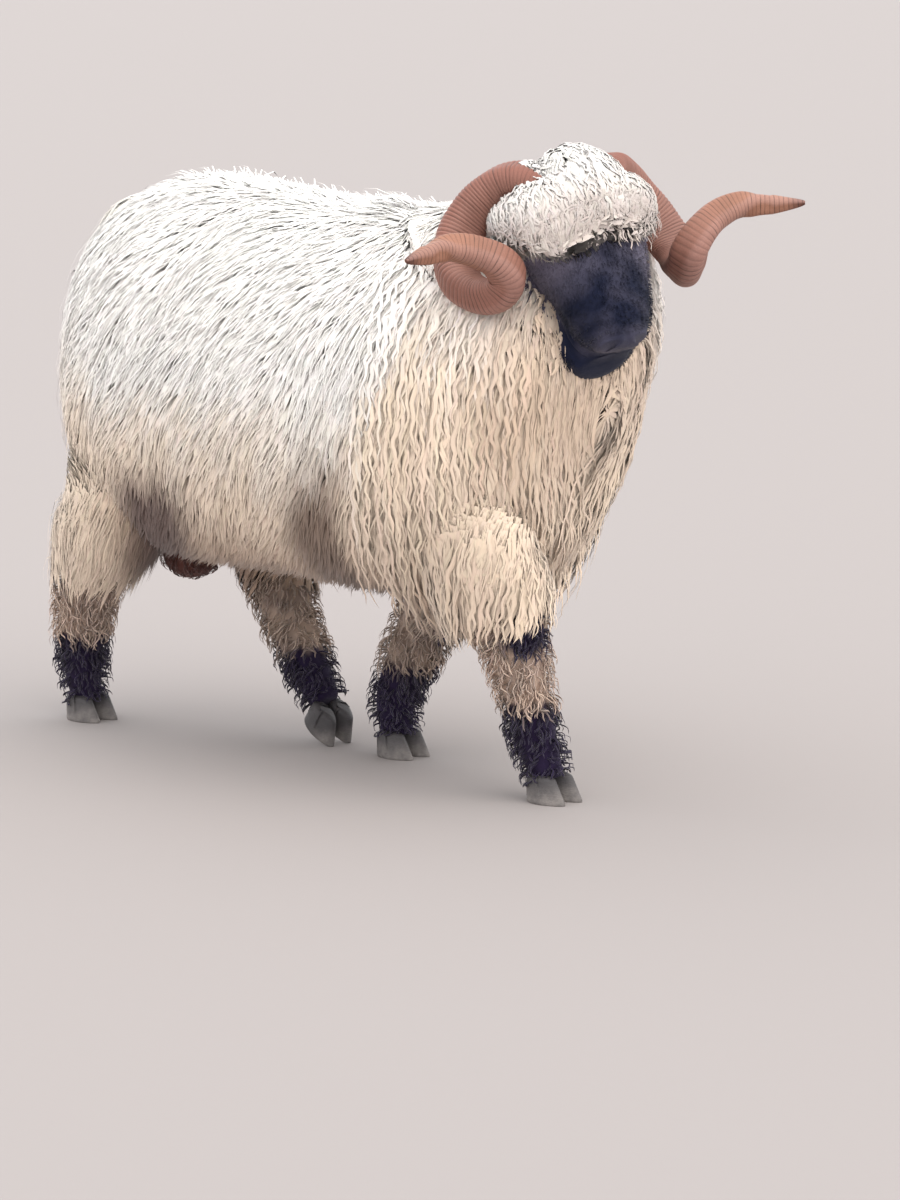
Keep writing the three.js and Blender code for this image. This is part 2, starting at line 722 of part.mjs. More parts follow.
const ram = new THREE.Group();
ram.position.copy(body(BOX_SHIFT.forward, BOX_SHIFT.left, 0));
function add(name, made, colour, roughness = 0.9) {
  const { numProp, vertProperties, triVerts } = made.getMesh();
  const positions = new Float32Array((vertProperties.length / numProp) * 3);
  for (let i = 0; i < positions.length / 3; i++) {
    positions.set(vertProperties.subarray(i * numProp, i * numProp + 3), i * 3);
  }
  const geometry = new THREE.BufferGeometry()
    .setAttribute("position", new THREE.BufferAttribute(positions, 3))
    .setIndex(new THREE.BufferAttribute(new Uint32Array(triVerts), 1));
  geometry.computeVertexNormals();
  const mesh = new THREE.Mesh(geometry, new THREE.MeshStandardMaterial({ color: colour, roughness }));
  mesh.name = name;
  ram.add(mesh);
}
const fleshColour = (name) => (name.endsWith("leg") ? colours.leg : colours[name] ?? colours.fleece);
for (const [name, at] of Object.entries(NODES)) add(name, nearest(at), fleshColour(name));
for (const [side, way] of SIDES) {
  add(`horn_${side}`, horn(way), colours.horn, 0.6);
  add(`ear_${side}`, largest(ear(way).subtract(horn(way, GAP))), colours.face);
  add(`eye_${side}`, eye(way), colours.eye, 0.2);
}
for (const [name, leg] of Object.entries(legs)) {
  for (const [side, way] of SIDES) add(`claw_${name}_${side}`, claw(leg.foot, way), colours.claw, 0.5);
}
const headCutters = SIDES.flatMap(([, way]) => [horn(way, GAP), ear(way, GAP), eye(way, GAP)]);
add("head", largest(headSolid().subtract(union(headCutters))), colours.face);
add("tail", tailWool(), colours.fleece);

export default ram;
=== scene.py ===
# A life-size Valais Blacknose ram, walking, in full fleece: skin, coat, horns, claws and eyes.
# Metres, +Z up. The ram faces -Y, its left side is +X, and the floor is Z = 0.
from itertools import product
from math import cos, pi, radians, sin

import bmesh
import bpy
import numpy as np
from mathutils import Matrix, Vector


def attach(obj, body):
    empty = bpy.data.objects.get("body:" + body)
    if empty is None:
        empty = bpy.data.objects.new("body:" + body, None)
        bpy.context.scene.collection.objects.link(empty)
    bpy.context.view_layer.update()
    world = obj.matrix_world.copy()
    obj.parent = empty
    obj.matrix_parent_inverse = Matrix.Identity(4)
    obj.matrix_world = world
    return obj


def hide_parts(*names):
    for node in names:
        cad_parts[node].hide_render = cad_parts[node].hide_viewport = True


bl_info = {
    "name": "Walking Blacknose Ram",
    "version": (1, 0, 0),
    "blender": (4, 5, 0),
    "location": "3D Viewport > Sidebar > Ram",
    "description": "Dresses the frame of a life-size ram in skin, wool, horns, claws and eyes",
    "category": "Add Mesh",
}

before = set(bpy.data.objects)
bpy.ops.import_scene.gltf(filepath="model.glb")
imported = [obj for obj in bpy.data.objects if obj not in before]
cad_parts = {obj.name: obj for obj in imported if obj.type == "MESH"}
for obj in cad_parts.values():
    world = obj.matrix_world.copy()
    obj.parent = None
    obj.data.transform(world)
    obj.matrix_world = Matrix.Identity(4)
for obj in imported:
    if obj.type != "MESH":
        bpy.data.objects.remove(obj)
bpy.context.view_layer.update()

# Where the ram's own origin, on the floor under its shoulders' middle, lies in the frame
ORIGIN = np.array([0.0385, 0.0843, 0.0])
HEAD_AT = (0.496, -0.033, 0.898)  # forward, left, up: midway between the horns
HEAD_TURN, HEAD_ROLL, FACE_SLOPE = radians(-24.5), radians(-5.6), radians(54)
POLL_ALONG, POLL_ABOVE = 0.035, 0.062  # that midpoint on the head's own axis


def rotation(axis, angle):
    """The matrix of a turn about x, y or z (0, 1 or 2) by an angle."""
    c, s = cos(angle), sin(angle)
    i, j = [(1, 2), (2, 0), (0, 1)][axis]
    turn = np.eye(3)
    turn[i, i] = turn[j, j] = c
    turn[j, i], turn[i, j] = s, -s
    return turn


HEAD_MATRIX = rotation(2, HEAD_TURN) @ rotation(1, HEAD_ROLL)


def way(forward, left, up):
    """A direction, given the way the ram sees it."""
    return np.array([left, -forward, up], float)


def body(forward, left, up):
    """A point of the body."""
    return ORIGIN + way(forward, left, up)


def in_head(forward, left, up):
    """A point of the head, from the middle between the horns."""
    return body(*HEAD_AT) + HEAD_MATRIX @ way(forward, left, up)


def on_head(along, above, left):
    """A point of the head: along its axis from the poll, above that axis, and to its left."""
    a, h = along - POLL_ALONG, above - POLL_ABOVE
    c, s = cos(FACE_SLOPE), sin(FACE_SLOPE)
    return in_head(a * c + h * s, left, h * c - a * s)


def head_axes():
    """The head's own axes as rows: along the face, above it, and left."""
    origin = on_head(0, 0, 0)
    return np.array([on_head(*row) - origin for row in np.eye(3)])


def head_coords(points):
    """Points as (along, above, left) on the head."""
    return (points - on_head(0, 0, 0)) @ head_axes().T


def unit(v):
    """Vectors scaled to length 1."""
    return v / np.maximum(np.linalg.norm(v, axis=-1, keepdims=True), 1e-12)


def dot(a, b):
    """The dot product along the last axis, kept as an axis."""
    return np.sum(a * b, axis=-1, keepdims=True)


def ease(x, low, high):
    """0 below low, 1 above high, and 3k^2 - 2k^3 between."""
    k = np.clip((x - low) / (high - low), 0, 1)
    return k * k * (3 - 2 * k)


def blend(a, b, k):
    """a where k is 0, b where k is 1."""
    k = np.asarray(k)[..., None]
    return a * (1 - k) + b * k


def bell(x, size):
    """1 where x is 0, and falling off smoothly over size on both sides."""
    return np.exp(-((x / size) ** 2))


def drift(points, size, seed):
    """A soft wandering value, mostly from -1 to 1: waves of about that length in random directions."""
    rng = np.random.default_rng(seed)
    count, gain = 7, 1.9
    waves = unit(rng.normal(size=(count, 3))) * (2 * pi / size) * rng.uniform(0.6, 1.5, (count, 1))
    return np.sin(points @ waves.T + rng.uniform(0, 2 * pi, count)).mean(axis=-1) * gain


def smooth(values, t):
    """Catmull-Rom values of a list at t from 0 to 1, with its ends held."""
    values = np.asarray(values, float)
    x = np.clip(np.asarray(t, float), 0, 1) * (len(values) - 1)
    i = np.minimum(x.astype(int), len(values) - 2)
    f = x - i
    if values.ndim > 1:
        f = f[..., None]
    a, b, c, d = (values[np.clip(i + k, 0, len(values) - 1)] for k in (-1, 0, 1, 2))
    return b + 0.5 * f * (c - a + f * (2 * a - 5 * b + 4 * c - d + f * (3 * (b - c) + d - a)))


THINNEST = 0.003  # the least half width of a form that is set in


class Form:
    """Superellipse rings carried square to a smooth path.

    The point at u along the path, at an angle from the side towards up, is
    centre + side * half * cos^box + up * reach * sin^box, with half and reach set in by inset."""

    def __init__(self, stations, box=1.0, box_under=None, side=(1, 0, 0), place=body):
        self.at = np.array([place(*row[0]) for row in stations])
        self.half = np.array([row[1] for row in stations])
        self.above = np.array([(row + row[1:])[2] for row in stations])
        self.below = np.array([row[3] if len(row) > 3 else (row + row[1:])[2] for row in stations])
        self.box, self.box_under = box, box_under or box
        self.side = np.array(side, float)

    def frame(self, u):
        """The way along the path at u, the side and up, all square to each other."""
        step = 0.01
        along = unit(smooth(self.at, np.minimum(1, u + step)) - smooth(self.at, np.maximum(0, u - step)))
        side = unit(self.side - along * dot(along, self.side))
        return along, side, np.cross(along, side)

    def reach(self, u, upward, inset, least):
        """How far the form reaches from its path at u, up where upward is above 0 and else down."""
        whole = np.where(upward > 0, smooth(self.above, u), smooth(self.below, u))
        return np.maximum(least, whole - inset)

    def point(self, u, angle, inset=0.0):
        """The point at u along the path and an angle round it."""
        u, angle, inset = np.broadcast_arrays(np.clip(u, 0, 1), angle, inset)
        _, side, up = self.frame(u)
        c, s = np.cos(angle), np.sin(angle)
        half = np.maximum(THINNEST, smooth(self.half, u) - inset)
        power = np.where(s > 0, self.box, self.box_under)
        x = half * np.sign(c) * np.abs(c) ** power
        z = self.reach(u, s, inset, THINNEST) * np.sign(s) * np.abs(s) ** power
        return smooth(self.at, u) + side * x[..., None] + up * z[..., None]

    def normal(self, u, angle, inset=0.0):
        """The way square to the form's surface, outwards: the cross product of its two slopes."""
        step = 0.006
        u = np.clip(u, step, 1 - step)
        here = self.point(u, angle, inset)
        along = self.point(u + step, angle, inset) - here
        around = self.point(u, angle + step, inset) - here
        return unit(np.cross(around, along))

    def contains(self, points, inset=0.0):
        """Whether points lie inside the form, set in by inset. Each is judged against a plain ellipse,
        square to the nearest place on the path."""
        samples = np.linspace(0, 1, 61)
        path = smooth(self.at, samples)
        found = np.zeros(len(points), bool)
        batch, least, slack = 20000, 0.001, 0.03
        for start in range(0, len(points), batch):
            p = points[start : start + batch]
            u = samples[np.argmin(((p[:, None] - path) ** 2).sum(-1), axis=1)]
            along, side, up = self.frame(u)
            gone = p - smooth(self.at, u)
            x, z = dot(gone, side)[:, 0], dot(gone, up)[:, 0]
            half = np.maximum(least, smooth(self.half, u) - inset)
            level = np.abs(dot(gone, along)[:, 0]) < slack
            inside = (x / half) ** 2 + (z / self.reach(u, z, inset, least)) ** 2 < 1
            found[start : start + batch] = level & inside
        return found


def outside(*covers):
    """A test of points: whether they lie outside every form given, each set in by its own inset."""

    def test(points):
        clear = np.ones(len(points), bool)
        for form, inset in covers:
            clear &= ~form.contains(points, inset)
        return clear

    return test


# The forms out to the tips of the coat: (forward, left, up), half width, reach above, reach below
TORSO = Form(
    [
        ((-0.472, 0, 0.610), 0.036, 0.050, 0.060),
        ((-0.455, 0, 0.608), 0.112, 0.138, 0.170),
        ((-0.395, 0, 0.602), 0.184, 0.222, 0.255),
        ((-0.285, 0, 0.592), 0.236, 0.272, 0.294),
        ((-0.140, 0, 0.582), 0.258, 0.272, 0.290),
        ((0, 0, 0.572), 0.266, 0.268, 0.280),
        ((0.150, 0, 0.570), 0.264, 0.266, 0.285),
        ((0.285, 0.004, 0.575), 0.250, 0.248, 0.290),
        ((0.395, 0.010, 0.580), 0.212, 0.200, 0.255),
        ((0.476, 0.020, 0.565), 0.145, 0.140, 0.165),
        ((0.506, 0.024, 0.555), 0.034, 0.034, 0.040),
    ],
    box=0.9,
)
NECK = Form(
    [
        ((0.170, 0, 0.560), 0.205, 0.200, 0.225),
        ((0.262, 0.016, 0.640), 0.209, 0.195, 0.238),
        ((0.340, 0.040, 0.722), 0.196, 0.190, 0.212),
        ((0.386, 0.034, 0.796), 0.162, 0.140, 0.122),
        ((0.408, 0.014, 0.848), 0.124, 0.092, 0.066),
        ((0.416, 0.002, 0.876), 0.060, 0.036, 0.036),
    ],
    box=0.92,
)
LEG_TOP = 0.455  # where the legs' own wool starts
LEG_SUNK = 0.040  # how far the top of a leg's skin is set in, under the wool of the body
TRACK = 0.052  # each foot to the middle line
LEG_STATIONS = {
    "front_right": [
        ((0.300, -0.130, 0.520), 0.095, 0.110),
        ((0.380, -0.112, 0.380), 0.084, 0.096),
        ((0.422, -0.088, 0.240), 0.054, 0.058),
        ((0.434, -0.070, 0.150), 0.042, 0.043),
        ((0.444, -0.058, 0.085), 0.041, 0.041),
        ((0.462, -TRACK, 0.030), 0.034, 0.034),
    ],
    "front_left": [
        ((0.255, 0.130, 0.520), 0.095, 0.110),
        ((0.185, 0.112, 0.370), 0.080, 0.088),
        ((0.122, 0.086, 0.235), 0.054, 0.058),
        ((0.090, 0.066, 0.150), 0.046, 0.048),
        ((0.068, 0.056, 0.085), 0.041, 0.041),
        ((0.076, TRACK, 0.030), 0.034, 0.034),
    ],
    "hind_right": [
        ((-0.285, -0.125, 0.520), 0.100, 0.120),
        ((-0.345, -0.116, 0.390), 0.088, 0.102),
        ((-0.434, -0.088, 0.258), 0.056, 0.064),
        ((-0.478, -0.068, 0.155), 0.046, 0.048),
        ((-0.492, -0.057, 0.085), 0.041, 0.041),
        ((-0.488, -TRACK, 0.030), 0.034, 0.034),
    ],
    "hind_left": [
        ((-0.250, 0.130, 0.520), 0.105, 0.150),
        ((-0.190, 0.120, 0.390), 0.086, 0.105),
        ((-0.212, 0.090, 0.270), 0.056, 0.062),
        ((-0.158, 0.070, 0.172), 0.046, 0.048),
        ((-0.108, 0.057, 0.104), 0.041, 0.041),
        ((-0.072, TRACK, 0.062), 0.034, 0.034),
    ],
}
LEGS = {name: Form(stations, box=0.95) for name, stations in LEG_STATIONS.items()}
FEET = {  # forward, left, lift of the heel in degrees
    "front_right": (0.474, -TRACK, 0),
    "front_left": (0.088, TRACK, 0),
    "hind_right": (-0.476, -TRACK, 0),
    "hind_left": (-0.076, TRACK, 36),
}
TAIL = Form(
    [
        ((-0.385, 0, 0.812), 0.038, 0.026),
        ((-0.434, 0, 0.770), 0.052, 0.036),
        ((-0.472, 0, 0.690), 0.056, 0.038),
        ((-0.482, 0, 0.600), 0.050, 0.036),
        ((-0.477, 0, 0.530), 0.034, 0.026),
        ((-0.472, 0, 0.505), 0.012, 0.009),
    ]
)
SCROTUM = Form(
    [
        ((-0.300, 0, 0.330), 0.050, 0.046),
        ((-0.305, 0, 0.285), 0.052, 0.050),
        ((-0.309, 0, 0.255), 0.044, 0.042),
        ((-0.311, 0, 0.236), 0.014, 0.012),
    ]
)

# The forms of the head, along its own axis or from the middle between the horns
HEAD_SIDE = HEAD_MATRIX @ way(0, 1, 0)
ALONG_HEAD = {"side": HEAD_SIDE, "place": on_head}
FROM_HORNS = {"side": HEAD_SIDE, "place": in_head}
SKULL = Form(
    [
        ((-0.022, -0.020, 0), 0.030, 0.020, 0.030),
        ((0.005, -0.014, 0), 0.052, 0.030, 0.050),
        ((0.045, -0.004, 0), 0.078, 0.046, 0.072),
        ((0.095, 0, 0), 0.095, 0.062, 0.076),
        ((0.145, 0.004, 0), 0.086, 0.060, 0.066),
        ((0.195, 0.006, -0.002), 0.074, 0.053, 0.056),
        ((0.240, 0.006, -0.004), 0.063, 0.046, 0.046),
        ((0.268, 0.003, -0.004), 0.050, 0.036, 0.036),
        ((0.284, -0.002, -0.004), 0.031, 0.020, 0.022),
    ],
    box=0.95,
    **ALONG_HEAD,
)
JAW = Form(
    [
        ((0.055, -0.060, 0), 0.070, 0.030, 0.054),
        ((0.110, -0.066, -0.003), 0.094, 0.032, 0.074),
        ((0.165, -0.064, -0.006), 0.095, 0.028, 0.080),
        ((0.215, -0.058, -0.008), 0.083, 0.024, 0.072),
        ((0.254, -0.052, -0.008), 0.064, 0.019, 0.058),
        ((0.274, -0.046, -0.005), 0.044, 0.013, 0.034),
    ],
    box=0.95,
    **ALONG_HEAD,
)
LIPS = Form(
    [
        ((0.100, -0.045, 0), 0.078, 0.030, 0.030),
        ((0.165, -0.044, -0.003), 0.075, 0.030, 0.030),
        ((0.215, -0.040, -0.004), 0.069, 0.026, 0.026),
        ((0.254, -0.036, -0.004), 0.054, 0.020, 0.020),
        ((0.272, -0.034, -0.004), 0.036, 0.012, 0.012),
    ],
    **ALONG_HEAD,
)
CROWN = Form(
    [
        ((-0.092, 0, -0.070), 0.060, 0.040, 0.040),
        ((-0.070, -0.004, -0.062), 0.104, 0.058, 0.046),
        ((-0.030, -0.008, -0.058), 0.120, 0.062, 0.036),
        ((0.012, -0.010, -0.054), 0.118, 0.067, 0.028),
        ((0.044, -0.010, -0.056), 0.108, 0.066, 0.026),
        ((0.062, -0.008, -0.066), 0.094, 0.044, 0.018),
        ((0.072, -0.006, -0.074), 0.066, 0.013, 0.008),
    ],
    box_under=0.8,
    **FROM_HORNS,
)
TOPKNOT = Form(
    [
        ((-0.084, 0, -0.026), 0.028, 0.026),
        ((-0.058, 0, -0.014), 0.050, 0.044),
        ((-0.012, 0, -0.008), 0.058, 0.052),
        ((0.034, 0, -0.022), 0.060, 0.046),
        ((0.066, 0, -0.046), 0.050, 0.032),
        ((0.080, 0, -0.060), 0.024, 0.012),
    ],
    **FROM_HORNS,
)

# How deep the coat lies over the skin
FLEECE_DEPTH, RUFF_DEPTH, LEG_DEPTH, TAIL_DEPTH = 0.036, 0.034, 0.011, 0.009
BROW_DEPTH, FACE_DEPTH, BAG_DEPTH = 0.022, 0.004, 0.004

FACE_CLEAR = 0.014  # how far from the face the long wool ends
CHEEK_FLUFF = 0.016  # how deep the jaw's own wool is
BROW_COVER, RUFF_COVER = 0.004, 0.014  # how far in the wool's edge on the face lies
BROW_EDGE = 0.150  # where the locks of the brow end, along the head

HIND_WOOL_EDGE, FORE_WOOL_EDGE = 0.275, 0.320  # how low the long wool reaches down the legs
KNEE_TOP = 0.270  # how low the long locks of the forelegs hang
KNEE_SIZE = (0.040, 0.034, 0.034)
KNEES = [(0.462, -0.100, 0.250), (0.150, 0.086, 0.215), (-0.462, -0.088, 0.245), (-0.240, 0.090, 0.262)]

EYE_AT = (0.114, 0.016, 0.081)  # along the head, above its axis and aside
EYE_RADIUS = 0.014
NOSTRIL_AT = (0.281, 0.012, 0.023)
MOUTH_ABOVE = -0.037
EYE_LOOKS = (0.18, 0.22, 0.92)  # the way an eye looks: along the head, above and aside
LID_HALF, UPPER_LID, LOWER_LID = 0.0128, 0.0078, 0.0058  # half the opening's length, and its heights

EAR_ROOT, EAR_TIP = (-0.036, 0.060, -0.062), (-0.112, 0.158, -0.160)
EAR_OPEN = (0.75, 0.6, -0.1)  # the way the cup faces
EAR_RISE = 0.012  # how far the ear bows up
EAR_RIM = 0.004  # its rim over the line from root to tip
EAR_WIDTHS = (0.014, 0.025, 0.031, 0.025, 0.006)
EAR_DEPTHS = (0.010, 0.014, 0.014, 0.010, 0.003)
EAR_WALL = 0.003

HORN_PATH = [  # forward, left, up in the head's frame
    (-0.010, 0.042, -0.032),
    (-0.030, 0.058, -0.008),
    (-0.056, 0.088, -0.006),
    (-0.075, 0.124, -0.030),
    (-0.078, 0.154, -0.062),
    (-0.066, 0.174, -0.098),
    (-0.036, 0.178, -0.130),
    (-0.002, 0.163, -0.146),
    (0.030, 0.147, -0.142),
    (0.050, 0.142, -0.122),
    (0.054, 0.158, -0.098),
    (0.046, 0.188, -0.080),
    (0.048, 0.228, -0.068),
    (0.066, 0.270, -0.070),
    (0.086, 0.310, -0.072),
]
LEFT_SWAY = (-0.012, -0.014, -0.012)  # how far the left horn's coil is drawn in
COIL_MIDDLE = (-0.008, 0.150, -0.072)
HORN_WIDE, HORN_DEEP = 0.072, 0.060
HORNS_AROUND, HORNS_REACH = (0, 0, -0.05), 0.34  # a ball that holds both horns

CLAW_LONG, CLAW_WIDE, CLAW_HIGH, CLAWS_APART = 0.070, 0.035, 0.040, 0.038
TOE_FLAT = 0.003  # how deep a lifted claw's toe is trimmed to stand

# The camera: where it stands is worked out from the angles and the distance to the point it looks at
LOOK_AT = (0.0285, -0.1507, 0.262)
AZIMUTH, ELEVATION, DISTANCE = radians(-48.5), radians(9.4), 6.9
FRAME_HIGH, FOCAL = 1200, 4700  # pixels of the 900 x 1200 picture

# Colours of the coat, as light reflected in red, green and blue
WHITE = np.array([0.98, 0.95, 0.90])
# painted shade: the greyer pink that the forelock's curls take towards the brow
FORELOCK_SHADE = np.array([0.67, 0.59, 0.54])
CREAM = np.array([0.96, 0.79, 0.62])
TAN = np.array([0.60, 0.43, 0.31])
DUST = np.array([0.74, 0.55, 0.43])
GREY = np.array([0.52, 0.395, 0.330])
BROWN = np.array([0.30, 0.205, 0.155])
UMBER = np.array([0.135, 0.080, 0.068])
RUST = np.array([0.13, 0.050, 0.040])
SOCK = np.array([0.019, 0.010, 0.040])
BLACK = np.array([0.006, 0.009, 0.030])
SLATE = np.array([0.260, 0.235, 0.315])


def grid_faces(rows, columns):
    """Quads of a grid of rows, each row closed round on itself, with both ends filled."""
    i, j = np.meshgrid(np.arange(rows - 1), np.arange(columns), indexing="ij")
    k = (j + 1) % columns
    a, b = i * columns + j, i * columns + k
    quads = np.stack([a, b, b + columns, a + columns], axis=-1).reshape(-1, 4).tolist()
    quads.append(list(range(columns))[::-1])
    quads.append([(rows - 1) * columns + n for n in range(columns)])
    return quads


def grid(rows, columns, start=0.0):
    """Places on a surface of rings: how far along, from start to 1, and the angle round."""
    return np.meshgrid(np.linspace(start, 1, rows), np.arange(columns) * 2 * pi / columns, indexing="ij")


def ring_faces(rows, columns):
    """Quads of a grid whose rows follow each other round a ring that is open in the middle."""
    i, j = np.meshgrid(np.arange(rows), np.arange(columns - 1), indexing="ij")
    a, b = i * columns + j, (i + 1) % rows * columns + j
    return np.stack([a, a + 1, b + 1, b], -1).reshape(-1, 4).tolist()


def new_object(name, mesh, material=None):
    """An object of a mesh, linked to the scene, at the origin."""
    made = bpy.data.objects.new(name, mesh)
    bpy.context.scene.collection.objects.link(made)
    if material:
        mesh.materials.append(material)
    return made


def mesh_of(name, points, faces):
    """A smooth-shaded mesh from an array of points and a list of faces."""
    mesh = bpy.data.meshes.new(name)
    mesh.from_pydata(np.asarray(points).reshape(-1, 3).tolist(), [], faces)
    mesh.shade_smooth()
    mesh.update()
    return mesh


def coordinates(mesh):
    """The mesh's vertices as an array."""
    flat = np.empty(len(mesh.vertices) * 3)
    mesh.vertices.foreach_get("co", flat)
    return flat.reshape(-1, 3)


def put_values(mesh, name, values):
    """Keeps one number or one colour for each vertex under a name."""
    values = np.asarray(values, float)
    if values.ndim == 1:
        layer = mesh.attributes.new(name, "FLOAT", "POINT")
        layer.data.foreach_set("value", values)
        return
    layer = mesh.attributes.new(name, "FLOAT_COLOR", "POINT")
    layer.data.foreach_set("color", np.c_[values, np.ones(len(values))].ravel())


def turned(mesh):
    """The mesh with all of its faces pointing outwards."""
    shape = bmesh.new()
    shape.from_mesh(mesh)
    bmesh.ops.recalc_face_normals(shape, faces=shape.faces)
    shape.to_mesh(mesh)
    shape.free()
    return mesh


class Wire:
    """An output socket in a shader, so that sums on it are written as an expression."""

    def __init__(self, shop, socket):
        self.shop, self.socket = shop, socket

    def math(self, operation, other, swap=False):
        first, second = (other, self) if swap else (self, other)
        return self.shop.node("ShaderNodeMath", {"operation": operation}, {0: first, 1: second})

    def __add__(self, other):
        return self.math("ADD", other)

    def __sub__(self, other):
        return self.math("SUBTRACT", other)

    def __rsub__(self, other):
        return self.math("SUBTRACT", other, swap=True)

    def __mul__(self, other):
        return self.math("MULTIPLY", other)

    def __truediv__(self, other):
        return self.math("DIVIDE", other)

    def __pow__(self, other):
        return self.math("POWER", other)

    __radd__, __rmul__ = __add__, __mul__


class Shop:
    """A new material and the few moves that fill it."""

    def __init__(self, name, **constants):
        self.material = bpy.data.materials.new(name)
        self.material.use_nodes = True
        self.tree = self.material.node_tree
        self.surface = self.tree.nodes["Principled BSDF"]
        for socket, value in constants.items():
            self.surface.inputs[socket.replace("_", " ")].default_value = value

    def node(self, kind, settings=None, values=None, out=0):
        """Adds a node with its settings, then the values or wires of its sockets. Returns one output."""
        made = self.tree.nodes.new(kind)
        for key, value in (settings or {}).items():
            setattr(made, key, value)
        for key, value in (values or {}).items():
            self.feed(made.inputs[key], value)
        return Wire(self, made.outputs[out])

    def feed(self, socket, value):
        """Links a wire to a socket, or sets its value."""
        if isinstance(value, Wire):
            self.tree.links.new(value.socket, socket)
        elif isinstance(value, (tuple, list, np.ndarray)) and socket.type == "RGBA":
            socket.default_value = (*value, 1)
        else:
            socket.default_value = value

    def place(self):
        """The object's own coordinates."""
        return self.node("ShaderNodeTexCoord", out="Object")

    def kept(self, name, out="Fac"):
        """A number or colour kept on the mesh under a name."""
        return self.node("ShaderNodeAttribute", {"attribute_name": name}, out=out)

    def noise(self, where, scale, detail=3.0, rough=0.55):
        """Noise over the coordinates, finer with a larger scale."""
        values = {"Vector": where, "Scale": scale, "Detail": detail, "Roughness": rough}
        return self.node("ShaderNodeTexNoise", {}, values)

    def stretched(self, where, scale):
        """Coordinates scaled differently along each axis."""
        return self.node("ShaderNodeMapping", {}, {"Vector": where, "Scale": scale})

    def mix(self, a, b, k, how="MIX"):
        """Two colours mixed by k."""
        settings = {"data_type": "RGBA", "blend_type": how}
        return self.node("ShaderNodeMix", settings, {0: k, 6: a, 7: b}, out=2)

    def scaled(self, colour, k):
        """A colour made k times as bright, where k is a wire."""
        grey = self.node("ShaderNodeCombineColor", {}, {0: k, 1: k, 2: k})
        return self.mix(colour, grey, 1.0, "MULTIPLY")

    def between(self, value, low, high):
        """A wire from 0 to 1, low to high, held at its ends."""
        settings = {"interpolation_type": "SMOOTHSTEP"}
        return self.node("ShaderNodeMapRange", settings, {0: value, 1: low, 2: high})

    def bump(self, height, distance):
        """A normal from a height in units of distance."""
        return self.node("ShaderNodeBump", {}, {"Height": height, "Distance": distance, "Strength": 1.0})

    def finish(self, **wires):
        """Feeds the surface's sockets and returns the material."""
        for socket, value in wires.items():
            self.feed(self.surface.inputs[socket.replace("_", " ")], value)
        return self.material


def wool_material(name, strands, depth, dark, contrast=0.3, sheen=0.3):
    """Wool: the lock's own tint, darker at its root, with fine strands along it."""
    shop = Shop(name, Roughness=0.9, Specular_IOR_Level=0.15, Sheen_Weight=sheen, Sheen_Roughness=0.5)
    strand = shop.node("ShaderNodeUVMap", {"uv_map": "strand"})
    fine = shop.noise(shop.stretched(strand, (strands, 2.5, 1)), 1.0, 4.0, 0.6)
    coarse = shop.noise(shop.place(), 38.0, 2.0)
    # painted shade, with some grime: each lock is darker towards its root, where the shade between the
    # locks falls
    shade = dark + (1 - dark) * shop.between(shop.kept("reach"), 0.05, 0.8)
    shade = shade * (1 - contrast / 2 + contrast * fine) * (1 - contrast / 4 + contrast / 2 * coarse)
    colour = shop.scaled(shop.kept("tint", "Color"), shade)
    return shop.finish(Base_Color=colour, Normal=shop.bump(fine, depth))


def skin_material():
    """Skin under the coat, with its markings, and short close hair on the face."""
    shop = Shop("skin", Roughness=0.8, Specular_IOR_Level=0.2, Sheen_Weight=0.1, Sheen_Roughness=0.5)
    where = shop.place()
    hair = shop.noise(where, 900.0, 4.0, 0.7)
    soft = shop.noise(where, 90.0, 3.0)
    colour = shop.scaled(shop.kept("tint", "Color"), 0.55 + 0.5 * hair + 0.4 * soft)
    return shop.finish(Base_Color=colour, Normal=shop.bump(hair, 0.0008))


# The skin


def form_mesh(form, rows, columns, inset):
    """Points and faces of a form's rings, closed at both ends."""
    u, angle = grid(rows, columns)
    return form.point(u, angle, inset).reshape(-1, 3), grid_faces(rows, columns)


def joined(name, parts):
    """One mesh of several (points, faces) parts."""
    points, faces, count = [], [], 0
    for part_points, part_faces in parts:
        points.append(np.asarray(part_points).reshape(-1, 3))
        faces += [[n + count for n in face] for face in part_faces]
        count += len(points[-1])
    return mesh_of(name, np.concatenate(points), faces)


def for_side(vectors, side):
    """Vectors on the left (1) of a head that looks straight ahead, for either side, turned as it is."""
    return (vectors * np.array([side, 1, 1])) @ HEAD_MATRIX.T


def ear_surface(side, rows=30, columns=36):
    """A cupped leaf: at u along it and an angle round its section, across is half * cos, and
    the depth behind the rim is depth * |sin| outside and the same less the wall inside."""
    root, tip, opened = (way(*v) for v in (EAR_ROOT, EAR_TIP, EAR_OPEN))
    u, angle = grid(rows, columns)
    along = unit(tip - root)
    across = unit(np.cross(opened, along))
    up = np.cross(along, across)
    s = np.sin(angle)
    outer = smooth(EAR_DEPTHS, u)
    inner = np.maximum(outer - EAR_WALL, 0.0005)
    sunk = np.where(s < 0, outer, inner) * np.abs(s)
    bow = EAR_RISE * np.sin(pi * u)
    points = root + (tip - root) * u[..., None]
    points = points + across * (smooth(EAR_WIDTHS, u) * np.cos(angle))[..., None]
    points = points + up * (EAR_RIM - sunk)[..., None] + np.array([0, 0, 1]) * bow[..., None]
    return body(*HEAD_AT) + for_side(points, side)


def eye_centre(side):
    """The middle of the left (1) or the right (-1) eye."""
    return on_head(EYE_AT[0], EYE_AT[1], EYE_AT[2] * side)


def eye_axes(side):
    """The way that an eye looks, and the way across it towards the muzzle."""
    along, above, left = head_axes()
    looks = unit(left * side * EYE_LOOKS[2] + along * EYE_LOOKS[0] + above * EYE_LOOKS[1])
    return looks, unit(along - looks * (along @ looks))


